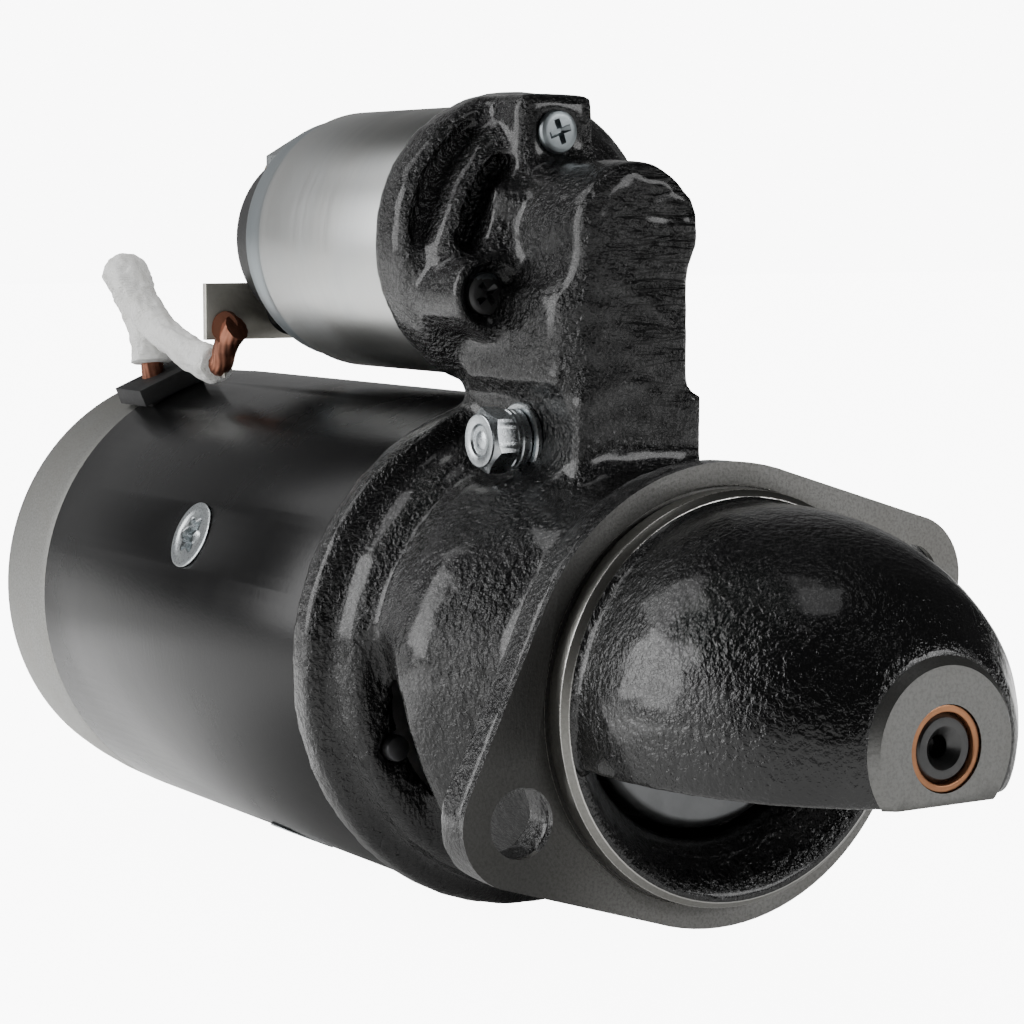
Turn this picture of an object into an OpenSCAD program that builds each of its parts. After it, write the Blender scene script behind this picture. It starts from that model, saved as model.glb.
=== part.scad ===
// Pre-engaged starter motor for a heavy engine, modelled in millimetres.
// +X runs along the shaft towards the nose, +Z runs from the motor up to the solenoid.
// The origin is on the shaft axis, in the plane of the mounting flange's front face.

/* [Mounting flange] */
// Radius of the register that centres the motor in its housing
pilot_r = 44.5; // [44:0.1:45]
// How far the register stands out of the flange
pilot_len = 6.4; // [5:0.1:7]
// Thickness of the flange
flange_t = 11; // [9:0.5:12]
// Distance between the two mounting holes
bolt_circle = 110; // [108:0.5:112]
// Radius of each mounting hole
flange_hole_r = 7.5; // [6:0.1:8]
// Turn of the mounting holes about the shaft, in degrees
ear_turn = 23.5; // [20:0.5:27]

/* [Motor] */
// Outside radius of the yoke tube
yoke_r = 59; // [58.5:0.1:59.5]
// Inside radius of the yoke tube
yoke_bore_r = 50.5; // [50.2:0.1:51]
// Radius of the armature core
core_r = 35; // [34:0.1:35.2]
// Radius of the commutator
comm_r = 20; // [19.5:0.1:20]

/* [Drive] */
// How far the pinion slides out to reach the ring gear
pinion_travel = 20; // [18:0.5:20]
// Number of teeth on the pinion
pinion_teeth = 9; // [9:1:10]
// Module of the pinion's teeth
pinion_module = 3; // [2.9:0.05:3]

/* [Solenoid] */
// Height of the solenoid axis above the shaft
sol_z = 95.5; // [95:0.1:96]
// Outside radius of the solenoid case
case_r = 31.9; // [31.5:0.1:32]

/* [Hidden] */
$fn = 96;
SMALL_FN = 36;

// Stations along the shaft
nose_face_x = 72.8;
yoke_front_x = -84;
yoke_rear_x = -227;
cover_rear_x = -263;
pole_x = -147;

// Shaft and bushes, with a running fit of 0.05 mm
shaft_r = 8;
nose_journal_r = 7;
run_gap = 0.05;
bush_front_x = 72.4;
boss_rear_x = 53;

// Four poles, four brushes and two through bolts share these turns about the shaft
pole_turns = [66, 156, 246, 336];
bolt_turn = 201.8;
bolt_r = 46.2;
bolt_seat_x = -65;

// Shift lever: pivot, fork at the shaft's height and tip at the solenoid's height
pivot_x = -54;
pivot_z = 52;
pivot_seat = 16.2;
lever_swing = 2 * atan(pinion_travel / 2 / pivot_z);
fork_x = pivot_x - pinion_travel / 2;
tip_rise = sol_z - pivot_z;
tip_x = pivot_x + tip_rise * tan(lever_swing / 2);

// Terminals on the solenoid cap, as [y, z] from the solenoid axis
battery_at = [4.6, 16.9];
motor_at = [-4.6, -16.9];
blade_at = [15, -4];

// Route of the field lead, from the yoke up, over and down to the strap
LEAD = [[-228, -25, 52], [-228, -26, 58], [-229, -26, 64], [-232, -26, 70], [-237, -26, 75.5],
        [-241, -26.5, 80.5], [-241.5, -28, 85], [-237, -29.5, 86.5], [-232, -30, 83.5],
        [-227.5, -29.5, 78.5], [-220, -28.5, 72.5], [-209, -27.5, 67.5], [-199, -26.5, 64.5],
        [-192, -25.5, 62.8], [-188, -25, 63.5], [-187, -24.6, 66.8], [-185.3, -24, 70.3],
        [-182, -23.5, 72.8]];
SLEEVE_FROM = 1.6;
SLEEVE_TO = 13.5;

// ---------- shared shapes ----------

// A bar along X between two stations, centred at y, z
module bar(r, x0, x1, y = 0, z = 0)
  translate([x0, y, z]) rotate([0, 90, 0]) cylinder(r = r, h = x1 - x0);

// A tube along X
module pipe(ro, ri, x0, x1, y = 0, z = 0)
  difference() {
    bar(ro, x0, x1, y, z);
    bar(ri, x0 - 1, x1 + 1, y, z);
  }

// A turned shape about X, from [station, radius] points
module turned(points, z = 0)
  translate([0, 0, z]) rotate([0, 90, 0])
    rotate_extrude() polygon([for (p = points) [p[1], p[0]]]);

// A hexagon bar along X, given across its flats
module hex_bar(flats, x0, x1, y = 0, z = 0)
  translate([x0, y, z]) rotate([0, 90, 0]) cylinder(r = flats / 2 / cos(30), h = x1 - x0, $fn = 6);

// A wedge along X between two turns, as wide as r
module wedge(r, x0, x1, a0, a1) {
  far = r / cos((a1 - a0) / 4);
  mid = (a0 + a1) / 2;
  translate([x0, 0, 0]) rotate([90, 0, 90]) linear_extrude(x1 - x0)
    polygon([[0, 0], far * [cos(a0), sin(a0)], far * [cos(mid), sin(mid)], far * [cos(a1), sin(a1)]]);
}

// A box in the frame of a radius turned by a about the shaft
module radial_box(a, x0, x1, r0, r1, half)
  rotate([a, 0, 0]) translate([x0, r0, -half]) cube([x1 - x0, r1 - r0, 2 * half]);

// A round rod that stands out along a radius
module radial_rod(a, x, r, r0, r1)
  rotate([a, 0, 0]) translate([x, r0, 0]) rotate([-90, 0, 0]) cylinder(r = r, h = r1 - r0);

// A cross recess for a screw whose head faces +X at x
module cross_cut(x, size, y, z, turn)
  translate([x, y, z]) rotate([turn, 0, 0])
    for (a = [0, 90]) rotate([a, 0, 0]) translate([-1.6, -size / 2, -size / 8]) cube([2, size, size / 4]);

function unit(v) = v / norm(v);
// A smooth point at t along a list of hand-set points
function spline(P, t) =
  let (n = len(P) - 1, i = min(floor(t), n - 1), u = t - i,
       a = P[max(i - 1, 0)], b = P[i], c = P[i + 1], d = P[min(i + 2, n)])
  0.5 * ((2 * b) + (c - a) * u + (2 * a - 5 * b + 4 * c - d) * u * u + (3 * b - a - 3 * c + d) * u * u * u);

// A closed tube swept along points, with its rings kept square to the route
module sweep(path, r, sides) {
  n = len(path);
  dirs = [for (i = [0 : n - 1]) unit(path[min(i + 1, n - 1)] - path[max(i - 1, 0)])];
  ref = [0.12, 1, 0.05];
  rings = [for (i = [0 : n - 1])
    let (s = unit(cross(dirs[i], ref)), q = cross(s, dirs[i]))
      [for (k = [0 : sides - 1]) path[i] + r * (cos(360 * k / sides) * s + sin(360 * k / sides) * q)]];
  polyhedron(
    points = [for (ring = rings) each ring],
    faces = concat(
      [[for (k = [sides - 1 : -1 : 0]) k]],
      [[for (k = [0 : sides - 1]) (n - 1) * sides + k]],
      [for (i = [0 : n - 2], k = [0 : sides - 1])
        let (a = i * sides + k, b = i * sides + (k + 1) % sides) [a, b, b + sides]],
      [for (i = [0 : n - 2], k = [0 : sides - 1])
        let (a = i * sides + k, b = i * sides + (k + 1) % sides) [a, b + sides, a + sides]]));
}

// A coil spring about X from x0 to x1
module coil_spring(r, wire, turns, x0, x1, steps = 18) {
  n = turns * steps;
  pitch = (x1 - x0 - 2 * wire) / n;
  rings = [for (i = [0 : n])
    let (a = 360 * i / steps)
      [for (k = [0 : 5]) let (c = 60 * k)
        [x0 + wire + pitch * i + wire * sin(c), (r + wire * cos(c)) * cos(a), (r + wire * cos(c)) * sin(a)]]];
  polyhedron(
    points = [for (ring = rings) each ring],
    faces = concat(
      [[for (k = [5 : -1 : 0]) k]],
      [[for (k = [0 : 5]) n * 6 + k]],
      [for (i = [0 : n - 1], k = [0 : 5])
        let (a = i * 6 + k, b = i * 6 + (k + 1) % 6) [a, b, b + 6]],
      [for (i = [0 : n - 1], k = [0 : 5])
        let (a = i * 6 + k, b = i * 6 + (k + 1) % 6) [a, b + 6, a + 6]]));
}

// ---------- drive end housing ----------

ear_r = 14;
web_rear_x = 0.5 - flange_t;
flange_r = 50;
nose_arc_x = 17;
nose_top_r = 42.5;
nose_arc_r = 80;
nose_cut_z = -11;
wall = 5.5;
function nose_r(x) = nose_top_r - nose_arc_r + sqrt(pow(nose_arc_r, 2) - pow(x - nose_arc_x, 2));

// Outline of the flange: a disc with two ears, joined by tangent webs
module flange() {
  reach = bolt_circle / 2;
  lean = acos((flange_r - ear_r) / reach);
  inner = flange_r - 0.04;
  outer = ear_r - 0.04;
  bar(flange_r, web_rear_x, 0);
  for (side = [0, 180]) rotate([ear_turn + side, 0, 0]) {
    bar(ear_r, -flange_t, 0, y = reach);
    translate([web_rear_x, 0, 0]) rotate([90, 0, 90]) linear_extrude(-web_rear_x)
      polygon([inner * [cos(lean), sin(lean)], [reach, 0] + outer * [cos(lean), sin(lean)],
               [reach, 0] + outer * [cos(lean), -sin(lean)], inner * [cos(lean), -sin(lean)]]);
  }
}

// Outside of the bell behind the flange, from the rim that meets the yoke
module bell()
  turned([[yoke_front_x, 0], [yoke_front_x, 60.2], [-76, 60.2], [-75, 59.4], [-73.6, 54.8], [-67.5, 53.8],
          [-64.6, 52], [-64, 50.2], [-58, 50.9], [-50, 50.4], [-42, 48.8], [-34, 46.8], [-26, 45.3],
          [1 - flange_t, 44.6], [1 - flange_t, 0]]);

// Outside of the nose, with the register at its foot
module nose()
  turned(concat(
    [[-1, 0], [-1, pilot_r], [pilot_len - 1.4, pilot_r], [pilot_len, pilot_r - 1.4],
     [pilot_len, nose_r(pilot_len)]],
    [for (x = [9 : 4 : 57]) [x, nose_r(x)]],
    [[59.6, 29.9], [70.6, 19.9], [70.8, 18], [nose_face_x, 16.2], [nose_face_x, 0]]));

// Neck that holds the lever and carries the solenoid
module neck() {
  bar(15.5, -84, -31, z = 98.5);
  translate([-84, -15.2, 60.6]) cube([53, 28.1, 37]);
  translate([-76, -18, 63.5]) cube([41, 10, 22]);
  bar(2.8, -74, -34, y = -15, z = 85.4);
  translate([-80, -16.5, 30]) cube([49, 33, 32.5]);
}

// Collar that the solenoid seats in
module collar()
  turned([[-90.5, 0], [-90.5, 34.7], [-80.5, 34.7], [-77.5, 33.4], [-69.5, 27.8], [-64, 22], [-60.5, 17],
          [-60.5, 0]], sol_z);

// Bosses of the solenoid's three screws, the top one in a block of its own
screw_circle = 25;
module collar_bosses() {
  for (t = [97, 207, 333])
    bar(t == 207 ? 9 : 8, -84, t == 207 ? -58 : -61, screw_circle * cos(t), sol_z + screw_circle * sin(t));
  translate([-84, -12, 111]) cube([22.6, 20, 18]);
}

// Two crescents sunk into the front of the collar
module crescents()
  for (c = [[32.2, -79.6], [24.4, -73]])
    difference() {
      bar(c[0], c[1], -50, z = sol_z);
      bar(c[0] + 16.4, c[1] - 1, -49, 21.4 * cos(-28), sol_z + 21.4 * sin(-28));
    }

module drive_end_housing()
  color([0.06, 0.06, 0.06]) difference() {
    union() {
      difference() {
        union() {
          flange();
          bell();
          neck();
          collar_bosses();
          difference() {
            collar();
            crescents();
          }
        }
        housing_hollow();
      }
      difference() {
        nose();
        nose_hollow();
      }
    }
    pipe(pilot_r + 0.4, pilot_r - 0.9, -0.8, 1);
    register_cone();
    bar(8.66, boss_rear_x - 1, nose_face_x + 1);
    translate([pilot_len, -60, -80]) cube([80, 120, 80 + nose_cut_z]);
    for (side = [0, 180]) rotate([ear_turn + side, 0, 0])
      bar(flange_hole_r, -flange_t - 1, 1, y = bolt_circle / 2);
    for (side = [0, 180]) bolt_pocket(bolt_turn + side);
    lever_slot();
    for (t = [97, 207, 333]) solenoid_screw_hole(t);
    pivot_hole();
  }

// Space for the drive inside the bell, and for the solenoid's case in the collar
module housing_hollow() {
  turned([[yoke_front_x - 1, 0], [yoke_front_x - 1, 50], [-79.5, 50], [-79.5, 43.5], [-50, 43.5],
          [-30, 39.5], [-16, 38], [-13, 31.5], [1, 31.5], [1, 0]]);
  bar(case_r + 0.02, -91, -82, z = sol_z);
  bar(17.5, -83, -66, z = sol_z);
}

module nose_hollow()
  turned(concat([[-2, 0], [-2, 31.5], [0, 32.5]],
    [for (x = [8 : 6 : 50]) [x, nose_r(x) - wall]], [[boss_rear_x, 26], [boss_rear_x, 0]]));

// Cone inside the register that shows where the nose is open below
module register_cone() intersection() {
  turned([[-7, 0], [-7, 30.7], [pilot_len + 1, 42], [pilot_len + 1, 0]]);
  translate([-8, -60, -80]) cube([20, 120, 80 + nose_cut_z]);
}

// Flat seat and sloping cut around the end of a through bolt
module bolt_pocket(a) {
  rotate([a, 0, 0]) translate([0, 0, -32]) linear_extrude(64)
    polygon([[bolt_seat_x, 42.2], [-56, 42.2], [-44, 50], [-40, 60], [bolt_seat_x, 60]]);
  rotate([a, 0, 0]) bar(3.1, yoke_front_x - 1, bolt_seat_x + 1, y = bolt_r);
}

// Slot in the neck where the lever swings and the hook slides
module lever_slot() {
  translate([-73, -9.5, 20]) cube([37.5, 19, 76]);
  bar(11, -83, -35.6, z = sol_z);
}

module solenoid_screw_hole(t) {
  y = screw_circle * cos(t);
  z = sol_z + screw_circle * sin(t);
  bar(2.75, -90, -50, y, z);
  bar(t == 207 ? 6.8 : 5.4, -61.6, -50, y, z);
}

// Hole for the pivot bolt, with a flat seat for the washer and one for the nut
module pivot_hole() {
  translate([pivot_x, -30, pivot_z]) rotate([-90, 0, 0]) cylinder(r = 4.05, h = 60, $fn = SMALL_FN);
  for (side = [-1, 1]) translate([pivot_x, side * (pivot_seat + 7) - 7, pivot_z]) rotate([-90, 0, 0])
    cylinder(r = 9.2, h = 14);
}

// ---------- bearings ----------

module nose_bush() color([0.62, 0.35, 0.2]) pipe(8.66, nose_journal_r + run_gap, boss_rear_x, bush_front_x);

module centre_bearing_plate() color([0.55, 0.56, 0.58]) difference() {
  union() {
    bar(50, yoke_front_x, -79.5);
    bar(14, -84, -73);
  }
  bar(11, -85, -72);
  for (side = [0, 180]) rotate([bolt_turn + side, 0, 0]) bar(3.1, -85, -79, y = bolt_r);
}

module centre_bush() color([0.62, 0.35, 0.2]) pipe(11, 9 + run_gap, -84, -73);

module rear_bush() color([0.62, 0.35, 0.2]) pipe(9, nose_journal_r + run_gap, -262, -246);

// ---------- motor ----------

module yoke() color([0.05, 0.05, 0.055]) difference() {
  pipe(yoke_r, yoke_bore_r, yoke_rear_x, yoke_front_x);
  for (a = pole_turns) rotate([a, 0, 0]) {
    radial_rod(0, pole_x, 5, 48, 60);
    translate([pole_x, yoke_r - 4.6, 0]) rotate([-90, 0, 0]) cylinder(r1 = 5, r2 = 9.2, h = 5, $fn = 64);
  }
  radial_box(112.8, yoke_rear_x - 1, -219, 49, 62, 8.5);
}

// Curved iron blocks that the field coils sit on
module pole_shoes() color([0.3, 0.3, 0.32]) difference() {
  for (a = pole_turns) {
    intersection() {
      pipe(yoke_bore_r - 0.02, 40, -178, -116);
      wedge(60, -178, -116, a - 15, a + 15);
    }
    intersection() {
      pipe(40, 36, -182, -112);
      wedge(60, -182, -112, a - 29, a + 29);
    }
  }
  for (a = pole_turns) radial_rod(a, pole_x, 4.9, 41, 56);
}

module field_coils() color([0.72, 0.4, 0.2]) for (a = pole_turns) difference() {
  intersection() {
    pipe(49.6, 40.4, -190, -104);
    wedge(60, -190, -104, a - 33, a + 33);
  }
  wedge(60, -178.8, -115.2, a - 15.8, a + 15.8);
}

// Countersunk screws that pull the pole shoes against the yoke
module pole_screws() color([0.72, 0.73, 0.75]) for (a = pole_turns) difference() {
  rotate([a, 0, 0]) translate([pole_x, 0, 0]) rotate([-90, 0, 0]) {
    translate([0, 0, 41.5]) cylinder(r = 4.85, h = 13);
    translate([0, 0, 54.45]) cylinder(r1 = 4.85, r2 = 8.4, h = 4.25);
    translate([0, 0, 58.7]) cylinder(r = 8.4, h = 0.6);
  }
  for (k = [0, 60]) rotate([a, 0, 0]) translate([pole_x, 56.4, 0]) rotate([-90, k / 2, 0])
    cylinder(r = 4.3, h = 5, $fn = 6);
}

module rear_cover() color([0.62, 0.62, 0.6]) difference() {
  turned([[yoke_rear_x, 0], [yoke_rear_x, yoke_r], [-240, 58.7], [-250, 58], [-257, 57.2], [-260.5, 55.6],
          [-262.4, 53.4], [cover_rear_x, 50.5], [cover_rear_x, 0]]);
  turned([[yoke_rear_x + 1, 0], [yoke_rear_x + 1, 53.4], [-250, 53], [-256, 50.5], [-257.5, 46], [-257.5, 15],
          [-246, 15], [-246, 0]]);
  bar(9, -270, -240);
  for (side = [0, 180]) rotate([bolt_turn + side, 0, 0]) {
    bar(3.1, -270, -220, y = bolt_r);
    bar(6.6, -270, -261.4, y = bolt_r);
  }
  for (a = [66, 246]) rotate([a, 0, 0]) bar(1.9, -268, -257.6, y = 17);
  radial_box(112.8, -234.5, yoke_rear_x + 1, 48, 62, 8.5);
}

// Small pressed cap over the rear end of the shaft
module end_cap() color([0.5, 0.51, 0.52]) difference() {
  union() {
    bar(12, -267.5, cover_rear_x);
    for (a = [66, 246]) rotate([a, 0, 0]) {
      bar(4.6, -264.2, cover_rear_x, y = 17);
      translate([-264.2, 0, -4.6]) cube([1.2, 17, 9.2]);
    }
  }
  bar(10.8, -266.3, cover_rear_x + 1);
  for (a = [66, 246]) rotate([a, 0, 0]) bar(2.1, -270, -260, y = 17);
}

module end_cap_screws() color([0.72, 0.73, 0.75]) for (a = [66, 246]) rotate([a, 0, 0]) difference() {
  union() {
    bar(1.85, -264.3, -258, y = 17);
    bar(3.6, -266.4, -264.2, y = 17);
  }
  translate([-267, 16.5, -4]) cube([1.5, 1, 8]);
}

// Two long bolts that clamp the rear cover and the yoke to the housing
module through_bolts() color([0.7, 0.71, 0.73]) for (side = [0, 180]) rotate([bolt_turn + side, 0, 0]) {
  bar(3, -262, bolt_seat_x + 1.2, y = bolt_r);
  bar(6.2, -262.9, -261.4, y = bolt_r);
  hex_bar(10, -267.1, -262.9, y = bolt_r);
}

module brush_plate() color([0.7, 0.66, 0.5]) difference() {
  union() {
    bar(49, -240, -238);
    for (a = pole_turns) radial_box(a, -238.5, -210.4, 23.5, 46.5, 6.3);
  }
  bar(22.4, -241, -200);
  for (a = pole_turns) radial_box(a, -230.3, -211.7, 20, 45, 4.8);
  for (a = pole_turns) radial_box(a, -236.8, -231.5, 20, 48, 5.2);
  for (side = [0, 180]) rotate([bolt_turn + side, 0, 0]) bar(4, -242, -230, y = bolt_r);
}

// A carbon block that rests on the commutator, free by 0.3 mm in its holder
module brush(a) color([0.13, 0.12, 0.12]) difference() {
  radial_box(a, -230, -212, 18, 35, 4.5);
  bar(comm_r + 0.3, -240, -200);
}
module brush_1() brush(pole_turns[0]);
module brush_2() brush(pole_turns[1]);
module brush_3() brush(pole_turns[2]);
module brush_4() brush(pole_turns[3]);

// A coil spring that presses on a brush, from the brush's top to the holder's roof
module brush_spring(a) color([0.6, 0.6, 0.62])
  rotate([a, 0, 0]) translate([-221, 0, 0]) rotate([0, 0, 90]) coil_spring(3, 0.5, 5, 35.1, 44.9, 12);
module brush_spring_1() brush_spring(pole_turns[0]);
module brush_spring_2() brush_spring(pole_turns[1]);
module brush_spring_3() brush_spring(pole_turns[2]);
module brush_spring_4() brush_spring(pole_turns[3]);

// ---------- armature ----------

module armature_shaft() color([0.75, 0.76, 0.78]) difference() {
  union() {
    turned([[-262, 0], [-262, 6.2], [-261.2, nose_journal_r], [-244, nose_journal_r], [-244, 9], [-72, 9],
            [-72, shaft_r], [45.5, shaft_r], [45.5, nose_journal_r], [71, nose_journal_r], [72, 6], [72, 0]]);
    for (a = [0 : 45 : 315]) radial_box(a, -69, -38, 7, 9.6, 1.2);
  }
  bar(2.3, 66, 73);
  turned([[70, 0], [70, 2.3], [73, 5.3], [73, 0]]);
}

// Stack of laminations with winding slots
module armature_core() color([0.35, 0.34, 0.33]) difference() {
  pipe(core_r, 9, -184, -110);
  for (k = [0 : 22]) radial_box(360 / 23 * k, -185, -109, 24, 36, 1.6);
}

// Copper bars in the slots and the two winding heads
module armature_winding() color([0.7, 0.38, 0.2]) {
  for (k = [0 : 22]) radial_box(360 / 23 * k, -185, -109, 24.3, 33.2, 1.4);
  turned([[-202, 21], [-202, 24], [-192, 30], [-184, 34], [-184, 12], [-196, 12], [-200, 21]]);
  turned([[-110, 12], [-110, 34], [-100, 31], [-94, 26], [-94, 14], [-98, 12]]);
}

module commutator() color([0.78, 0.45, 0.25]) difference() {
  turned([[-236, 9], [-236, comm_r - 0.6], [-235.4, comm_r], [-207, comm_r], [-206, 23], [-202.2, 23],
          [-202.2, 9]]);
  for (k = [0 : 22]) radial_box(360 / 23 * (k + 0.5), -237, -202, comm_r - 1.4, 25, 0.4);
}

module stop_ring() color([0.45, 0.45, 0.47]) pipe(11.5, nose_journal_r, 45.5, 51);
module stop_circlip() color([0.25, 0.25, 0.26]) difference() {
  pipe(9.2, nose_journal_r, 51, 52.2);
  translate([50, 5, -1.5]) cube([3, 6, 3]);
}
module thrust_washer() color([0.2, 0.2, 0.2]) pipe(12, nose_journal_r, -245.6, -244);

// ---------- drive ----------

sleeve_x0 = -70;
drum_x0 = -34;
drum_x1 = -5.5;
drum_r = 29.7;

// Splined sleeve with the ring that the lever's fork moves
module guide_sleeve() color([0.5, 0.5, 0.52]) difference() {
  union() {
    bar(13, sleeve_x0, drum_x0);
    bar(17, fork_x - 6, fork_x - 3);
    bar(17, fork_x + 3, fork_x + 6);
  }
  bar(shaft_r + run_gap, sleeve_x0 - 1, drum_x0 + 1);
  for (a = [0 : 45 : 315]) radial_box(a, sleeve_x0 - 1, drum_x0 + 1, 6, 9.9, 1.5);
}

module clutch_drum() color([0.45, 0.45, 0.46]) difference() {
  bar(28.4, drum_x0, drum_x1 - 1.4);
  bar(20.8, -30, drum_x1);
  bar(10.5, drum_x0 - 1, -29);
}

// Pressed cover that is rolled over the clutch
module clutch_cover() color([0.55, 0.55, 0.56])
  turned([[drum_x0, 28.4], [drum_x0, drum_r], [drum_x1 - 2, drum_r], [drum_x1, drum_r - 2], [drum_x1, 15.8],
          [drum_x1 - 1.4, 15.8], [drum_x1 - 1.4, 28.4]]);

module clutch_rollers() color([0.8, 0.8, 0.82])
  for (a = [0 : 60 : 300]) rotate([a, 0, 0]) bar(3.6, -29.5, -12.5, y = 17.1);

module engagement_spring() color([0.6, 0.6, 0.62]) coil_spring(15, 1.1, 5, fork_x + 6.1, drum_x0 - 0.1);

pitch_r = pinion_module * pinion_teeth / 2;
tip_r = pitch_r + 1.25 * pinion_module;
root_r = pitch_r - 0.9 * pinion_module;
// Half width of a tooth, as an angle, at radius r on a 20 degree involute
function inv(a) = tan(a) * 180 / PI - a;
function tooth_half(r) =
  let (base = pitch_r * cos(20), a = r > base ? acos(base / r) : 0)
  90 / pinion_teeth + 3.5 + inv(20) - inv(a);

module pinion() color([0.55, 0.55, 0.56]) difference() {
  union() {
    bar(root_r, 3, 25);
    for (k = [0 : pinion_teeth - 1]) rotate([360 / pinion_teeth * k, 0, 0])
      translate([3, 0, 0]) rotate([90, 0, 90]) linear_extrude(22)
        polygon(concat([[root_r - 2, -3], [root_r - 2, 3]],
          [for (r = [root_r, pitch_r - 1, pitch_r, pitch_r + 1.3, pitch_r + 2.6, tip_r])
            r * [cos(tooth_half(r)), sin(tooth_half(r))]],
          [for (r = [tip_r, pitch_r + 2.6, pitch_r + 1.3, pitch_r, pitch_r - 1, root_r])
            r * [cos(tooth_half(r)), -sin(tooth_half(r))]]));
    bar(root_r + 1.4, -8, 3);
    bar(13, -29.6, -8);
  }
  bar(shaft_r + run_gap, -31, 26);
}

// ---------- lever and pivot ----------

module shift_lever() color([0.4, 0.4, 0.41]) difference() {
  union() {
    translate([pivot_x, -8.4, pivot_z]) rotate([-90, 0, 0]) cylinder(r = 8, h = 16.8);
    lean_box(-7, 7, -22, 0, 3.6);
    lean_box(-23.4, 23.4, -30, -21, 4);
    for (s = [-1, 1]) {
      lean_box(s * 21.2 - 2, s * 21.2 + 2, -pivot_z / cos(lever_swing / 2), -24, 3.7);
      translate([fork_x, s * 18 - 4.2, 0]) rotate([-90, 0, 0]) cylinder(r = 2.7, h = 8.4, $fn = SMALL_FN);
    }
    lean_box(-3.6, 3.6, 0, tip_rise / cos(lever_swing / 2), 2.5);
    translate([tip_x, -4, sol_z]) rotate([-90, 0, 0]) cylinder(r = 4, h = 8, $fn = SMALL_FN);
  }
  translate([pivot_x, -12, pivot_z]) rotate([-90, 0, 0]) cylinder(r = 4 + run_gap, h = 24);
}

// A bar of the lever in the lever's own lean, from a to b along it
module lean_box(y0, y1, a, b, half)
  translate([pivot_x, 0, pivot_z]) rotate([0, lever_swing / 2, 0])
    translate([-half, y0, a]) cube([2 * half, y1 - y0, b - a]);

module pivot_bolt() color([0.75, 0.77, 0.78]) difference() {
  translate([pivot_x, 0, pivot_z]) rotate([90, 0, 0]) {
    translate([0, 0, -25]) cylinder(r = 4, h = 46);
    translate([0, 0, 20.6]) cylinder(r = 6.9, h = 0.9);
    translate([0, 0, 21.4]) rotate([0, 0, 12]) cylinder(r = 7.5, h = 6.2, $fn = 6);
    translate([0, 0, 27.6]) cylinder(r = 6, h = 0.5);
  }
  translate([pivot_x, -28.6, pivot_z]) rotate([-90, 0, 0]) cylinder(r = 3.6, h = 0.8);
}

module pivot_washers() color([0.7, 0.72, 0.73]) {
  across([pivot_seat, pivot_seat + 1.7], 8.2, 4.1);
  difference() {
    across([pivot_seat + 1.8, pivot_seat + 4.3], 6.8, 4.1);
    translate([pivot_x + 3, -pivot_seat - 5, pivot_z - 0.4]) cube([5, 4, 0.8]);
  }
}

// A washer on the pivot bolt between two distances on the near side
module across(span, ro, ri)
  translate([pivot_x, -span[1], pivot_z]) rotate([-90, 0, 0]) difference() {
    cylinder(r = ro, h = span[1] - span[0]);
    translate([0, 0, -1]) cylinder(r = ri, h = span[1] - span[0] + 2);
  }

module pivot_nut() color([0.7, 0.72, 0.73])
  translate([pivot_x, pivot_seat, pivot_z]) rotate([-90, 0, 0]) difference() {
    cylinder(r = 7.5, h = 6.5, $fn = 6);
    translate([0, 0, -1]) cylinder(r = 4, h = 9);
  }

// ---------- solenoid ----------

module solenoid_case() color([0.62, 0.64, 0.64]) difference() {
  turned([[-82, 16.6], [-82, case_r], [-152.6, case_r], [-153.6, case_r - 0.7], [-162.4, case_r - 1.5],
          [-163.6, case_r - 2], [-163.6, 29.4], [-86, 29.4], [-86, 16.6]], sol_z);
  for (t = [97, 207, 333]) bar(2.1, -90, -80, screw_circle * cos(t), sol_z + screw_circle * sin(t));
}

// Moulded cap that carries the terminals and holds the switch chamber
module solenoid_cap() color([0.05, 0.05, 0.05]) difference() {
  union() {
    turned([[-152.2, 0], [-152.2, 29.3], [-163.6, 29.3], [-163.6, 29.9], [-168, 29.9], [-182, 27.6],
            [-184, 25.6], [-184, 0]], sol_z);
    for (at = [battery_at, motor_at]) bar(8.4, -186.5, -183, at[0], sol_z + at[1]);
  }
  bar(24, -163, -150, z = sol_z);
  for (at = [battery_at, motor_at]) bar(at == battery_at ? 5.05 : 4.05, -190, -160, at[0], sol_z + at[1]);
  translate([-190, blade_at[0] - 0.6, sol_z + blade_at[1] - 3.3]) cube([30, 1.2, 6.6]);
}

module solenoid_coil() color([0.68, 0.36, 0.18]) pipe(28.6, 16.8, -147.5, -86.8, z = sol_z);
module coil_tube() color([0.8, 0.68, 0.35]) pipe(16.6, 15.5, -147.8, -82, z = sol_z);

module solenoid_core() color([0.4, 0.4, 0.42]) {
  pipe(15.4, 3.5, -148, -128, z = sol_z);
  pipe(29.3, 3.5, -152, -148, z = sol_z);
}

// A stud with a wide head inside the cap and a slightly slimmer outer end
module stud(at, r, head, x0) color([0.75, 0.5, 0.3]) {
  bar(r - 0.25, x0, x0 + 9.5, at[0], sol_z + at[1]);
  bar(r, x0 + 9, -163, at[0], sol_z + at[1]);
  bar(head, -163, -159.3, at[0], sol_z + at[1]);
}
module battery_stud() stud(battery_at, 5, 6, -212);
module motor_stud() stud(motor_at, 4, 6, -203);

module trigger_blade() color([0.8, 0.75, 0.55])
  translate([-197, blade_at[0] - 0.5, sol_z + blade_at[1] - 3.15]) cube([33, 1, 6.3]);

module stud_nuts() color([0.72, 0.72, 0.7]) {
  terminal_nut(battery_at, 17, 5, -192.5, -186.5);
  terminal_nut(battery_at, 17, 5, -203, -196.5);
  terminal_nut(motor_at, 13, 4, -196.7, -190.2);
}
module terminal_nut(at, flats, r, x0, x1) difference() {
  hex_bar(flats, x0, x1, at[0], sol_z + at[1]);
  bar(r, x0 - 1, x1 + 1, at[0], sol_z + at[1]);
}

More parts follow.
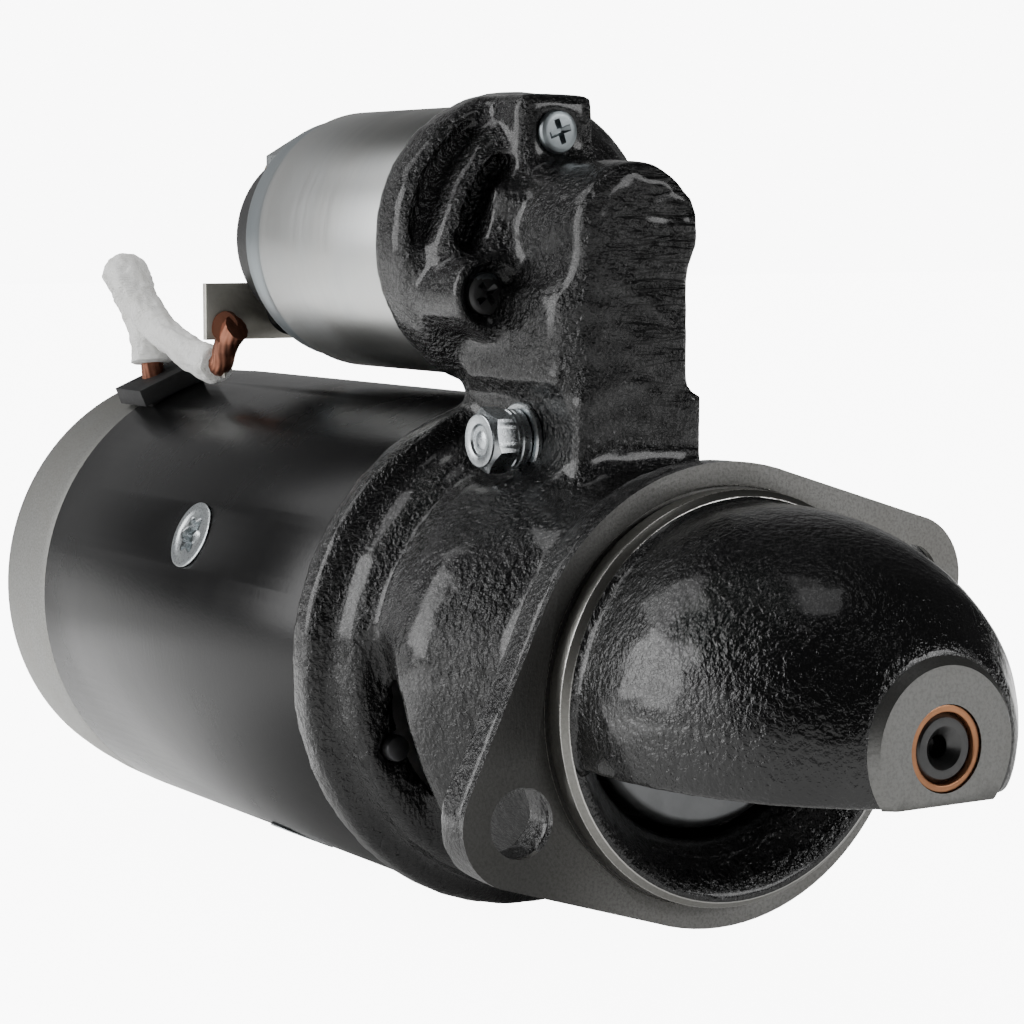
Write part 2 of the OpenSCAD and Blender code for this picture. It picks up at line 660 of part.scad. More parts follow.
module stud_washers() color([0.7, 0.7, 0.68]) {
  pipe(9, 5, -194.2, -192.6, battery_at[0], sol_z + battery_at[1]);
  pipe(9, 5, -196.4, -194.4, battery_at[0], sol_z + battery_at[1]);
  pipe(7.5, 4, -190.1, -188.6, motor_at[0], sol_z + motor_at[1]);
}

module solenoid_screws() color([0.6, 0.62, 0.64]) for (t = [97, 207, 333]) {
  y = screw_circle * cos(t);
  z = sol_z + screw_circle * sin(t);
  difference() {
    union() {
      bar(2.05, -86, -82, y, z);
      bar(2.5, -82, -61.6, y, z);
      bar(4.9, -61.6, -59.6, y, z);
    }
    cross_cut(-59.9, 5.4, y, z, 20);
  }
}

// Flat tinned strap from the motor stud to the lead, with a folded tail
module terminal_strap() color([0.55, 0.54, 0.5]) difference() {
  union() {
    translate([-188.5, -30, 69.5]) cube([2, 38, 14.6]);
    translate([-188.5, 0, 0]) rotate([90, 0, 90]) linear_extrude(2)
      polygon([[-27, 70], [-21, 70], [-22.6, 63.5], [-24.8, 59.6]]);
  }
  bar(4.05, -190, -185, motor_at[0], sol_z + motor_at[1]);
}

// ---------- field lead ----------

module lead_braid() color([0.72, 0.4, 0.26])
  sweep([for (i = [0 : 50]) spline(LEAD, i * (len(LEAD) - 1) / 50)], 3, 10);

module lead_sleeve() color([0.9, 0.9, 0.87])
  sweep([for (i = [0 : 40]) spline(LEAD, SLEEVE_FROM + i * (SLEEVE_TO - SLEEVE_FROM) / 40)], 4.4, 12);

module lead_grommet() color([0.07, 0.07, 0.07]) difference() {
  union() {
    radial_box(112.8, -234.4, -219.2, 50, 60, 8.2);
    radial_box(112.8, -233, -217, yoke_r + 0.6, 64.2, 11);
  }
  sweep([for (i = [0 : 8]) spline(LEAD, i * 0.25)], 3.02, 10);
}

// ---------- solenoid's moving pieces ----------

module return_spring() color([0.65, 0.65, 0.67])
  translate([0, 0, sol_z]) coil_spring(7.4, 0.9, 8, -127.9, -86.1);

module plunger() color([0.6, 0.6, 0.62]) difference() {
  bar(15.2, -110.5, -74, z = sol_z);
  bar(9, -112, -86, z = sol_z);
  bar(5, -87, -70, z = sol_z);
}

// Eye that hooks over the tip of the lever
module plunger_hook() color([0.5, 0.5, 0.52]) difference() {
  union() {
    bar(5, -86, tip_x - 9, z = sol_z);
    translate([tip_x - 9.6, -7.5, sol_z - 5.5]) cube([16.9, 15, 11]);
  }
  translate([tip_x - 4.35, -4.4, sol_z - 8]) cube([8.7, 8.8, 16]);
}

module contact_rod() color([0.6, 0.6, 0.62]) bar(3, -157.5, -124.8, z = sol_z);
module contact_disc() color([0.78, 0.45, 0.28]) pipe(22.5, 3, -156, -153.5, z = sol_z);

drive_end_housing();
nose_bush();
centre_bearing_plate();
centre_bush();
yoke();
pole_shoes();
field_coils();
pole_screws();
rear_cover();
rear_bush();
end_cap();
end_cap_screws();
through_bolts();
brush_plate();
brush_1();
brush_2();
brush_3();
brush_4();
brush_spring_1();
brush_spring_2();
brush_spring_3();
brush_spring_4();
pivot_bolt();
pivot_washers();
pivot_nut();
solenoid_case();
solenoid_cap();
solenoid_coil();
coil_tube();
solenoid_core();
battery_stud();
motor_stud();
trigger_blade();
stud_nuts();
stud_washers();
solenoid_screws();
terminal_strap();
lead_braid();
lead_sleeve();
lead_grommet();
return_spring();
armature_shaft();
armature_core();
armature_winding();
commutator();
stop_ring();
stop_circlip();
thrust_washer();
guide_sleeve();
clutch_drum();
clutch_cover();
clutch_rollers();
engagement_spring();
pinion();
shift_lever();
plunger();
plunger_hook();
contact_rod();
contact_disc();
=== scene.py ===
# %% [markdown]
# # A starter motor on a pale floor
# A pre-engaged starter is a motor, a cast nose that bolts to the engine, and a solenoid on its back.
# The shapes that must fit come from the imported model. This notebook gives them their finish: a thick
# coat of gloss paint on a rough casting, turned faces left bare, plated steel, tumbled aluminium,
# bare copper and a woven glass sleeve. The first cell loads the fixed frame, and nothing moves it.

# %% Load the frame
import math

import bmesh
import bpy
from mathutils import Matrix, Vector, noise


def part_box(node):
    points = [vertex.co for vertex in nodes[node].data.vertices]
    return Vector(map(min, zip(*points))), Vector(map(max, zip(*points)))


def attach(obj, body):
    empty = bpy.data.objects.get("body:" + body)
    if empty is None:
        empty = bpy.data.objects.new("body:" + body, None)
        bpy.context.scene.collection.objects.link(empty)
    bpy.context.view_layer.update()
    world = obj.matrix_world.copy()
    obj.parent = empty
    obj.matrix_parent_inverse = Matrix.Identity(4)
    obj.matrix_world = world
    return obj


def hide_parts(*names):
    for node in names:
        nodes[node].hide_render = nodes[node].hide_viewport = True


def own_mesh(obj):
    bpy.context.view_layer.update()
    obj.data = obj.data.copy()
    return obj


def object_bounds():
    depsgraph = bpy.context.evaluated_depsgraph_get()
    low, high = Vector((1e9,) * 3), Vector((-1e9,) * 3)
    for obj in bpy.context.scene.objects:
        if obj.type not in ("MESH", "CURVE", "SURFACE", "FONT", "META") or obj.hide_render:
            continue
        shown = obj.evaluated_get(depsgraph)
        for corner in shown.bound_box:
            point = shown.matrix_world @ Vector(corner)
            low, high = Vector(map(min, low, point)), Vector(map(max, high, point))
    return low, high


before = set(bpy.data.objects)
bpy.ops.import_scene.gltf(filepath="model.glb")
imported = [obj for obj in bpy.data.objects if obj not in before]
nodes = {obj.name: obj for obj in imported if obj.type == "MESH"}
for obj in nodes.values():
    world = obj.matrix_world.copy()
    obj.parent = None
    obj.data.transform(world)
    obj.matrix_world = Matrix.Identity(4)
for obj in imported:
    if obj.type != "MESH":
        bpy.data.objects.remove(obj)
cad_box = [list(corner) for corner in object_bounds()]
MM = 0.001
print("nodes", len(nodes), "box", [[round(v, 4) for v in c] for c in cad_box])

# %% [markdown]
# ## Sizes that the pieces share
# The frame's boxes give the main places. The axis of the shaft is the X axis of the frame, and the
# solenoid's axis lies straight above it. The flange's front face is the plane x = 0. Lengths in the
# cells below are in millimetres and become metres by `MM`. The casting is cut by three planes: the
# machined flange and register lie between the first two, and the nose's milled face beyond the last.

# %% Read the places from the frame
def span(node, axis):
    low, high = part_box(node)
    return low[axis], high[axis]


def middle(node, axis):
    low, high = span(node, axis)
    return (low + high) / 2


SOL_Z = middle("solenoid_case", 2)
CASE_BACK = span("solenoid_case", 0)[0]
YOKE_R = (span("yoke", 2)[1] - span("yoke", 2)[0]) / 2
CUT_BACK, CUT_FRONT = -1.6 * MM, 6.5 * MM
CUT_NOSE = span("drive_end_housing", 0)[1] - 1.9 * MM
PIVOT = Vector((middle("pivot_washers", 0), 0, middle("pivot_washers", 2)))
print("solenoid axis", round(SOL_Z, 4), "yoke radius", round(YOKE_R, 4), "nose cut", round(CUT_NOSE, 4))

# %% [markdown]
# ## Bench tools
# Each finished piece is a mesh whose place is in its points, so its object sits at the origin and a
# pattern on object coordinates stays put. `finish` turns a bmesh into such an object. It shades the
# round faces smooth and keeps an edge sharp where two faces meet at more than the given angle.
# `replace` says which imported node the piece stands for.

# %% Turn a bmesh into a finished piece
def add_object(name, data):
    item = bpy.data.objects.new(name, data)
    bpy.context.scene.collection.objects.link(item)
    return item


def mesh_object(bm, name, materials=()):
    mesh = bpy.data.meshes.new(name)
    bm.to_mesh(mesh)
    bm.free()
    for material in materials:
        mesh.materials.append(material)
    return add_object(name, mesh)


def finish(bm, name, body, materials, sharp=34.0):
    piece = mesh_object(bm, name, materials)
    piece.data.shade_smooth()
    piece.data.set_sharp_from_angle(angle=math.radians(sharp))
    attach(piece, body)
    return piece


def replace(piece, node):
    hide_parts(node)
    print(piece.name, "for", node, len(piece.data.polygons), "faces")

# %% [markdown]
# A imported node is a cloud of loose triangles. Merging its points gives a skin that operators can work
# on, and dissolving the flat triangles leaves whole faces, so that a bevel runs cleanly along the
# real edges. A small bevel is what catches the light on machined and pressed metal.

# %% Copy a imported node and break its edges
def bench_copy(node, flat=True):
    bm = bmesh.new()
    bm.from_mesh(nodes[node].data)
    bmesh.ops.remove_doubles(bm, verts=bm.verts, dist=0.002 * MM)
    if flat:
        bmesh.ops.dissolve_limit(bm, angle_limit=math.radians(0.4), verts=bm.verts, edges=bm.edges)
    return bm


def hard_edges(bm, angle):
    return [e for e in bm.edges if len(e.link_faces) == 2 and e.calc_face_angle(0.0) > math.radians(angle)]


def bevel(bm, edges, width):
    return bmesh.ops.bevel(bm, geom=edges, offset=width, offset_type="OFFSET", segments=2, profile=0.5,
                           affect="EDGES", material=-1, clamp_overlap=True)["faces"]

# %% [markdown]
# ## Finishes
# A finish is a Principled shader fed by a few shared effects. Each effect is a node group with named
# inputs, built once, that puts out a value or a height that changes over the surface. The small class
# below keeps the wiring short: `add` places a node with its settings, and `put` links a socket or sets
# its value. `place` is the point on the surface, and `ramp` goes smoothly between two outputs.

# %% A short hand for wiring nodes
class Bench:
    def __init__(self, tree):
        self.tree = tree

    def add(self, kind, settings=None, **inputs):
        item = self.tree.nodes.new(kind)
        for key, value in (settings or {}).items():
            setattr(item, key, value)
        for key, value in inputs.items():
            self.put(item.inputs[key.replace("_", " ")], value)
        return item

    def put(self, socket, value):
        if isinstance(value, bpy.types.NodeSocket):
            self.tree.links.new(value, socket)
        else:
            socket.default_value = value

    def math(self, operation, a, b=0.0):
        item = self.add("ShaderNodeMath", {"operation": operation})
        self.put(item.inputs[0], a)
        self.put(item.inputs[1], b)
        return item.outputs[0]

    def times(self, a, b):
        return self.math("MULTIPLY", a, b)

    def plus(self, a, b):
        return self.math("ADD", a, b)

    def less(self, a, b):
        return self.math("SUBTRACT", a, b)

    def place(self):
        return self.add("ShaderNodeTexCoord").outputs["Object"]

    def split(self, vector):
        return self.add("ShaderNodeSeparateXYZ", Vector=vector).outputs

    def ramp(self, value, low, high, low_out=0.0, high_out=1.0):
        item = self.add("ShaderNodeMapRange", {"clamp": True, "interpolation_type": "SMOOTHSTEP"},
                        Value=value)
        numbers = {"From Min": low, "From Max": high, "To Min": low_out, "To Max": high_out}
        for key, number in numbers.items():
            item.inputs[key].default_value = number
        return item.outputs["Result"]

    def mix(self, factor, a, b):
        item = self.add("ShaderNodeMix", {"data_type": "RGBA"})
        self.put(item.inputs["Factor"], factor)
        self.put(item.inputs[6], a)
        self.put(item.inputs[7], b)
        return item.outputs[2]

    def noise(self, vector, scale, detail=3.0, roughness=0.5, distortion=0.0):
        item = self.add("ShaderNodeTexNoise", Vector=vector, Scale=scale, Detail=detail,
                        Roughness=roughness, Distortion=distortion)
        return item.outputs["Fac"]


def group(name, inputs, outputs):
    tree = bpy.data.node_groups.new(name, "ShaderNodeTree")
    for label, default in inputs.items():
        socket = tree.interface.new_socket(label, in_out="INPUT", socket_type="NodeSocketFloat")
        socket.default_value = default
    for label in outputs:
        tree.interface.new_socket(label, in_out="OUTPUT", socket_type="NodeSocketFloat")
    bench = Bench(tree)
    given = bench.add("NodeGroupInput").outputs
    result = bench.add("NodeGroupOutput").inputs
    return bench, given, result, bench.place()

# %% [markdown]
# **Cast skin.** Thick paint over sand casting shows lumps of a millimetre or two, softened by the
# paint, with finer orange peel on top. Two noises of different size, mixed, give that height, and a
# cell pattern the size of the lumps puts winding hollows between them.

# %% Group: cast skin
def make_cast_skin():
    b, given, result, place = group(
        "cast skin", {"Lump Scale": 420.0, "Peel Scale": 1100.0, "Lump Share": 0.6}, ["Height"])
    stretch = b.add("ShaderNodeMapping", Vector=place, Scale=(1.0, 1.15, 0.75)).outputs["Vector"]
    lumps = b.noise(stretch, given["Lump Scale"], 2.0, 0.55, 0.6)
    peel = b.noise(place, given["Peel Scale"], 2.0, 0.5, 0.2)
    worms = b.add("ShaderNodeTexVoronoi", {"feature": "SMOOTH_F1"}, Vector=stretch,
                  Scale=given["Lump Scale"]).outputs["Distance"]
    mixed = b.plus(b.times(lumps, given["Lump Share"]),
                   b.times(peel, b.less(1.0, given["Lump Share"])))
    b.put(result["Height"], b.plus(mixed, b.times(worms, 0.35)))
    return b.tree


CAST_SKIN = make_cast_skin()

# %% [markdown]
# **Turned rings.** A lathe leaves fine rings about the axis of the part. Noise read along the radius,
# or along the axis on a barrel, gives rings of uneven depth. The centre's height is an input, because
# the solenoid's axis is not the shaft's.

# %% Group: turned rings
def make_turned_rings():
    b, given, result, place = group(
        "turned rings", {"Axis Height": 0.0, "Rings": 2600.0, "Facing": 1.0}, ["Height", "Tone"])
    xyz = b.split(place)
    up = b.less(xyz["Z"], given["Axis Height"])
    squares = b.plus(b.times(xyz["Y"], xyz["Y"]), b.times(up, up))
    radius = b.math("SQRT", squares)
    along = b.plus(b.times(radius, given["Facing"]),
                   b.times(xyz["X"], b.less(1.0, given["Facing"])))
    line = b.add("ShaderNodeCombineXYZ", X=along, Y=b.times(xyz["Y"], 0.02),
                 Z=b.times(up, 0.02)).outputs["Vector"]
    b.put(result["Height"], b.noise(line, given["Rings"], 2.0, 0.6))
    b.put(result["Tone"], b.noise(line, b.times(given["Rings"], 0.16), 3.0, 0.6))
    return b.tree


TURNED_RINGS = make_turned_rings()

# %% [markdown]
# **Handling.** Nothing from a shop is evenly clean. A broad soft noise makes the faint patches that
# fingers and oil leave, and a fine one makes dust. Both only shift roughness and tone a little.

# %% Group: handling marks
def make_handling():
    b, given, result, place = group(
        "handling", {"Patch Scale": 28.0, "Dust Scale": 900.0}, ["Patches", "Dust"])
    b.put(result["Patches"], b.ramp(b.noise(place, given["Patch Scale"], 4.0, 0.6, 0.8), 0.35, 0.7))
    b.put(result["Dust"], b.ramp(b.noise(place, given["Dust Scale"], 2.0, 0.7), 0.6, 0.78))
    return b.tree


HANDLING = make_handling()

# %% [markdown]
# ** Wear and highlight.** Raised edges lose their finish first, and the lighter edge also stands in for
# the highlight a ridge catches, so it is partly painted highlight. The mesh knows how sharp it is at
# each point, and breaking that up with noise keeps the worn line from looking drawn.

# %% Group: worn and highlighted edges
def make_wear_and_highlight():
    b, given, result, place = group(
        "worn and highlighted edges", {"Start": 0.53, "Full": 0.62, "Break Up": 500.0}, ["Mask"])
    sharp = b.add("ShaderNodeNewGeometry").outputs["Pointiness"]
    rough = b.times(b.less(b.noise(place, given["Break Up"], 3.0, 0.6), 0.5), 0.1)
    item = b.add("ShaderNodeMapRange", {"clamp": True}, Value=b.plus(sharp, rough))
    b.put(item.inputs["From Min"], given["Start"])
    b.put(item.inputs["From Max"], given["Full"])
    b.put(result["Mask"], item.outputs["Result"])
    return b.tree


WEAR_AND_HIGHLIGHT = make_wear_and_highlight()

# %% [markdown]
# `new_finish` starts a material. Numbers that are the same all over the surface are set on the shader
# itself, and only what varies is wired in. `effect` adds a shared group with its own numbers, and
# `bump` wires a height, in metres at full depth, to the shader's normal.

# %% Start a material
def new_finish(name, colour, roughness, metallic=0.0, **fixed):
    material = bpy.data.materials.new(name)
    material.use_nodes = True
    bench = Bench(material.node_tree)
    shader = next(n for n in material.node_tree.nodes if n.type == "BSDF_PRINCIPLED")
    shader.inputs["Base Color"].default_value = (*colour, 1.0)
    shader.inputs["Roughness"].default_value = roughness
    shader.inputs["Metallic"].default_value = metallic
    for key, value in fixed.items():
        shader.inputs[key.replace("_", " ")].default_value = value
    return material, bench, shader


def effect(bench, tree, **inputs):
    item = bench.add("ShaderNodeGroup")
    item.node_tree = tree
    for key, value in inputs.items():
        bench.put(item.inputs[key.replace("_", " ")], value)
    return item.outputs


def bump(bench, shader, height, distance, strength=0.6):
    item = bench.add("ShaderNodeBump", Height=height, Distance=distance, Strength=strength)
    bench.put(shader.inputs["Normal"], item.outputs["Normal"])

# %% [markdown]
# ### Painted casting
# The casting is dipped in gloss black. On the rough neck the lumps break the shine into short bright
# strokes, and on the nose and the bell the sand was finer, so the paint lies smoother. One material
# does both: a mask from height and place along the shaft fades the lumps out towards the nose. The
# neck's front face also has level ripples, a noise squeezed flat that shows on that face only.

# %% Finish: black paint on the casting
def black_casting():
    material, b, shader = new_finish("black_casting_paint", (0.003, 0.003, 0.0033), 0.16,
                                     Coat_Roughness=0.13, Specular_IOR_Level=0.5)
    place = b.place()
    xyz = b.split(place)
    skin = effect(b, CAST_SKIN, Lump_Scale=620.0, Peel_Scale=1300.0, Lump_Share=0.6)
    hand = effect(b, HANDLING, Patch_Scale=40.0, Dust_Scale=1300.0)
    wear_and_highlight = effect(b, WEAR_AND_HIGHLIGHT, Start=0.56, Full=0.7, Break_Up=700.0)
    high = b.ramp(xyz["Z"], 0.042, 0.062)
    front = b.ramp(xyz["X"], -0.012, 0.012)
    rough_part = b.math("MAXIMUM", high, b.times(b.less(1.0, front), 0.5))
    bench_noise = b.noise(place, 170.0, 2.0, 0.5, 0.5)
    depth = b.times(skin["Height"], b.plus(0.55, b.times(rough_part, 0.9)))
    level = b.add("ShaderNodeMapping", Vector=place, Scale=(0.1, 0.16, 1.0),
                  Rotation=(0.08, 0.0, 0.0)).outputs["Vector"]
    lines = b.math("ABSOLUTE", b.less(b.noise(level, 380.0, 2.0, 0.5, 0.6), 0.5))
    face_yz = b.times(b.ramp(xyz["Z"], 0.06, 0.095, 0.25, 1.0),
                     b.ramp(xyz["Y"], -0.009, 0.006, 0.12, 1.0))
    front_face = b.times(b.ramp(xyz["X"], -0.0355, -0.0335), face_yz)
    level_lines = b.times(b.times(b.ramp(lines, 0.0, 0.13), front_face),
                         b.ramp(xyz["X"], -0.025, -0.02, 1.0, 0.0))
    soft = b.plus(b.times(bench_noise, 0.3), level_lines)
    bump(b, shader, b.plus(depth, soft), 0.0013, 1.0)
    b.put(shader.inputs["Roughness"], b.plus(0.16, b.plus(
          b.times(hand["Patches"], 0.06), b.times(rough_part, 0.03))))
    paint = b.mix(hand["Dust"], (0.0026, 0.0026, 0.0028, 1), (0.008, 0.008, 0.008, 1))
    # Ridges go lighter: partly paint worn through, partly painted highlight.
    worn_and_highlight = b.times(wear_and_highlight["Mask"], 0.25)
    b.put(shader.inputs["Base Color"], b.mix(worn_and_highlight, paint, (0.03, 0.029, 0.027, 1)))
    b.put(shader.inputs["Coat Weight"], b.less(0.6, b.times(hand["Patches"], 0.2)))
    return material


BLACK_CASTING = black_casting()

# %% [markdown]
# ### Bare iron
# The flange's face is milled after painting. Cast iron machines to a warm dark grey with fine specks
# of graphite, a little brown where it has begun to rust, and the cutter's arcs just show. The
# register's edges were turned last, and they are the brightest metal on the casting. The last
# argument paints shade: it darkens the metal's colour towards −Y, where the nose blocks the light.

# %% Finish: milled flange and turned register
def bare_iron(name, colour, roughness, facing, speck=0.5, rust=0.35, rings=2600.0, painted_shade=0.0):
    material, b, shader = new_finish(name, colour, roughness, 1.0)
    place = b.place()
    turned = effect(b, TURNED_RINGS, Rings=rings, Facing=facing)
    hand = effect(b, HANDLING, Patch_Scale=55.0, Dust_Scale=1700.0)
    grain = b.noise(place, 1500.0, 3.0, 0.7)
    dark = tuple(c * 0.45 for c in colour)
    base = b.mix(b.times(b.ramp(grain, 0.42, 0.66), speck), (*colour, 1), (*dark, 1))
    stained = b.mix(b.times(hand["Patches"], rust), base, (0.17, 0.15, 0.12, 1))
    toned = b.mix(b.times(turned["Tone"], 0.35), stained, (*dark, 1))
    # Painted shade: the colour darkens towards −Y, in place of the light that the nose blocks there.
    side = b.ramp(b.split(place)["Y"], -0.052, -0.012, painted_shade, 0.0)
    b.put(shader.inputs["Base Color"], b.mix(side, toned, (*(c * 0.2 for c in colour), 1)))
    b.put(shader.inputs["Roughness"], b.plus(roughness - 0.06, b.times(grain, 0.2)))
    bump(b, shader, b.plus(b.times(turned["Height"], 0.5), b.times(grain, 0.9)),
         0.00012, 0.55)
    return material


MILLED_FLANGE = bare_iron("milled_flange_iron", (0.3, 0.298, 0.288), 0.5, 1.0, rust=0.15, painted_shade=0.8)
TURNED_REGISTER = bare_iron("turned_register_iron", (0.34, 0.335, 0.315), 0.34, 0.4, speck=0.25, rust=0.12)
BRIGHT_EDGE = bare_iron("bright_turned_edge", (0.75, 0.74, 0.71), 0.24, 0.4, speck=0.1, rust=0.05)
NOSE_FACE = bare_iron("milled_nose_iron", (0.27, 0.27, 0.262), 0.4, 1.0, speck=0.3, rust=0.08, rings=3400.0)

# %% [markdown]
# ### Yoke, solenoid and cover
# The yoke's tube is sprayed satin black over smooth steel, so it shows one long soft gradient with a
# trace of draw lines.

# %% Finish: satin black yoke
def satin_black():
    colour = (0.0055, 0.0055, 0.0058)
    material, b, shader = new_finish("satin_black_paint", colour, 0.25, Specular_IOR_Level=0.27)
    hand = effect(b, HANDLING, Patch_Scale=16.0, Dust_Scale=1500.0)
    turned = effect(b, TURNED_RINGS, Rings=900.0, Facing=0.0)
    place = b.place()
    peel = b.noise(place, 1300.0, 2.0, 0.5)
    b.put(shader.inputs["Roughness"], b.plus(0.22, b.plus(
          b.times(hand["Patches"], 0.05), b.times(turned["Tone"], 0.04))))
    pale = tuple(c * 1.9 for c in colour)
    b.put(shader.inputs["Base Color"], b.mix(hand["Dust"], (*colour, 1), (*pale, 1)))
    bump(b, shader, b.plus(peel, b.times(turned["Height"], 0.4)), 0.00004)
    return material


SATIN_BLACK = satin_black()

# %% [markdown]
# The solenoid's case is zinc plated, brushed round its barrel, and passivated a little blue at the
# rolled rim at its back.

# %% Finish: brushed zinc case
def brushed_zinc():
    material, b, shader = new_finish("brushed_zinc_plate", (0.6, 0.61, 0.6), 0.3, 1.0, Anisotropic=0.35)
    place = b.place()
    xyz = b.split(place)
    turned = effect(b, TURNED_RINGS, Axis_Height=SOL_Z, Rings=3200.0, Facing=0.0)
    hand = effect(b, HANDLING, Patch_Scale=24.0, Dust_Scale=700.0)
    rim = b.ramp(xyz["X"], CASE_BACK + 8 * MM, CASE_BACK + 13 * MM, 1.0, 0.0)
    base = b.mix(b.times(hand["Patches"], 0.5), (0.62, 0.625, 0.61, 1), (0.5, 0.525, 0.54, 1))
    tinted = b.mix(b.times(rim, 0.75), base, (0.36, 0.42, 0.46, 1))
    brushed = b.times(turned["Tone"], 0.22)
    b.put(shader.inputs["Base Color"], b.mix(brushed, tinted, (0.35, 0.35, 0.34, 1)))
    b.put(shader.inputs["Roughness"], b.plus(0.27, b.plus(
          b.times(turned["Tone"], 0.12), b.times(hand["Patches"], 0.06))))
    bump(b, shader, turned["Height"], 0.00003, 0.5)
    return material


BRUSHED_ZINC = brushed_zinc()

# %% [markdown]
# The rear cover is tumbled aluminium: matt, grey and finely grained, with darker clouds.

# %% Finish: tumbled aluminium cover
def tumbled_aluminium():
    material, b, shader = new_finish("tumbled_aluminium", (0.42, 0.42, 0.4), 0.55, 1.0)
    place = b.place()
    grain = b.noise(place, 1900.0, 3.0, 0.7)
    cloud = b.noise(place, 60.0, 4.0, 0.6, 0.5)
    turned = effect(b, TURNED_RINGS, Rings=1800.0, Facing=0.3)
    base = b.mix(b.ramp(grain, 0.3, 0.75), (0.37, 0.37, 0.358, 1), (0.27, 0.27, 0.258, 1))
    clouded = b.times(b.ramp(cloud, 0.4, 0.7), 0.4)
    b.put(shader.inputs["Base Color"], b.mix(clouded, base, (0.3, 0.29, 0.265, 1)))
    b.put(shader.inputs["Roughness"], b.plus(0.5, b.times(grain, 0.18)))
    bump(b, shader, b.plus(grain, b.times(turned["Height"], 0.3)), 0.00008, 0.5)
    return material


TUMBLED_ALUMINIUM = tumbled_aluminium()

# %% [markdown]
# ### Small metals
# Screws, bolts and washers share one recipe with their own colours: fine grain that lifts the
# roughness, soft patches in the plating, and edges lightened partly by wear and partly as painted
# highlight. `dull` is the share of the patches, and `tarnish` their colour where it isn't just a
# darker metal: copper and bronze turn brown.

# %% Finish: plated, plain and copper parts
GRAIN = 1400.0


def metal(name, colour, roughness, dull, depth=0.00004, tarnish=None):
    material, b, shader = new_finish(name, colour, roughness, 1.0)
    place = b.place()
    hand = effect(b, HANDLING, Patch_Scale=90.0, Dust_Scale=GRAIN)
    wear_and_highlight = effect(b, WEAR_AND_HIGHLIGHT, Start=0.53, Full=0.6, Break_Up=900.0)
    grain = b.noise(place, GRAIN, 3.0, 0.6)
    other = tarnish or tuple(c * 0.55 for c in colour)
    base = b.mix(b.times(hand["Patches"], dull), (*colour, 1), (*other, 1))
    # Edges go lighter: partly worn plating, partly painted highlight.
    worn_highlight_colour = tuple(min(1.0, c * 1.25) for c in colour)
    b.put(shader.inputs["Base Color"], b.mix(b.times(wear_and_highlight["Mask"], 0.3), base, (*worn_highlight_colour, 1)))
    b.put(shader.inputs["Roughness"], b.plus(roughness - 0.05, b.times(grain, 0.2)))
    bump(b, shader, grain, depth)
    return material


ZINC = metal("bright_zinc", (0.62, 0.65, 0.66), 0.24, 0.5, tarnish=(0.4, 0.44, 0.48))
DULL_ZINC = metal("dull_zinc", (0.3, 0.33, 0.345), 0.3, 0.5)
STEEL = metal("plain_steel_finish", (0.42, 0.42, 0.42), 0.3, 0.4)
SHAFT_STEEL = metal("ground_shaft_steel", (0.1, 0.1, 0.1), 0.28, 0.4)
DARK_STEEL = metal("phosphated_steel", (0.13, 0.13, 0.135), 0.42, 0.4)
DARKER_SCREW_STEEL = metal("darker_screw_steel", (0.11, 0.11, 0.112), 0.34, 0.4)
DRUM_STEEL = metal("pressed_drum_steel", (0.22, 0.225, 0.23), 0.34, 0.3)
BRONZE = metal("sintered_bronze", (0.52, 0.25, 0.13), 0.34, 0.5, tarnish=(0.25, 0.12, 0.07))
COPPER = metal("bare_copper", (0.36, 0.155, 0.1), 0.45, 0.8, tarnish=(0.16, 0.075, 0.052))
BRASS = metal("drawn_brass", (0.66, 0.5, 0.22), 0.3, 0.4, tarnish=(0.36, 0.25, 0.12))
TINNED = metal("tinned_copper", (0.72, 0.7, 0.64), 0.46, 0.6, tarnish=(0.48, 0.46, 0.39))
LAMINATED = metal("laminated_core", (0.22, 0.21, 0.2), 0.5, 0.4, depth=0.0001)

# %% [markdown]
# The moulded cap, the rubber grommet and the carbon brushes are not metallic: dark, matt and grained,
# with a little pale dust.

# %% Finish: moulded, rubber and carbon parts
def plain_matt(name, colour, roughness, scale, depth):
    material, b, shader = new_finish(name, colour, roughness)
    place = b.place()
    grain = b.noise(place, scale, 3.0, 0.6)
    hand = effect(b, HANDLING, Patch_Scale=60.0, Dust_Scale=scale)
    pale = tuple(c * 2.2 + 0.004 for c in colour)
    b.put(shader.inputs["Base Color"], b.mix(b.times(hand["Dust"], 0.5), (*colour, 1), (*pale, 1)))
    b.put(shader.inputs["Roughness"], b.plus(roughness - 0.05, b.times(grain, 0.15)))
    bump(b, shader, grain, depth)
    return material


BLACK_CAP = plain_matt("moulded_cap", (0.012, 0.012, 0.013), 0.4, 1200.0, 0.00005)
RUBBER = plain_matt("black_rubber_finish", (0.012, 0.012, 0.013), 0.6, 1000.0, 0.00012)
CARBON = plain_matt("pressed_carbon", (0.02, 0.02, 0.021), 0.55, 2000.0, 0.00008)

# %% [markdown]
# The sleeve is woven from glass yarn: a fine diagonal weave in its bump, off-white, with soil in its
# folds and a soft sheen at the rim.

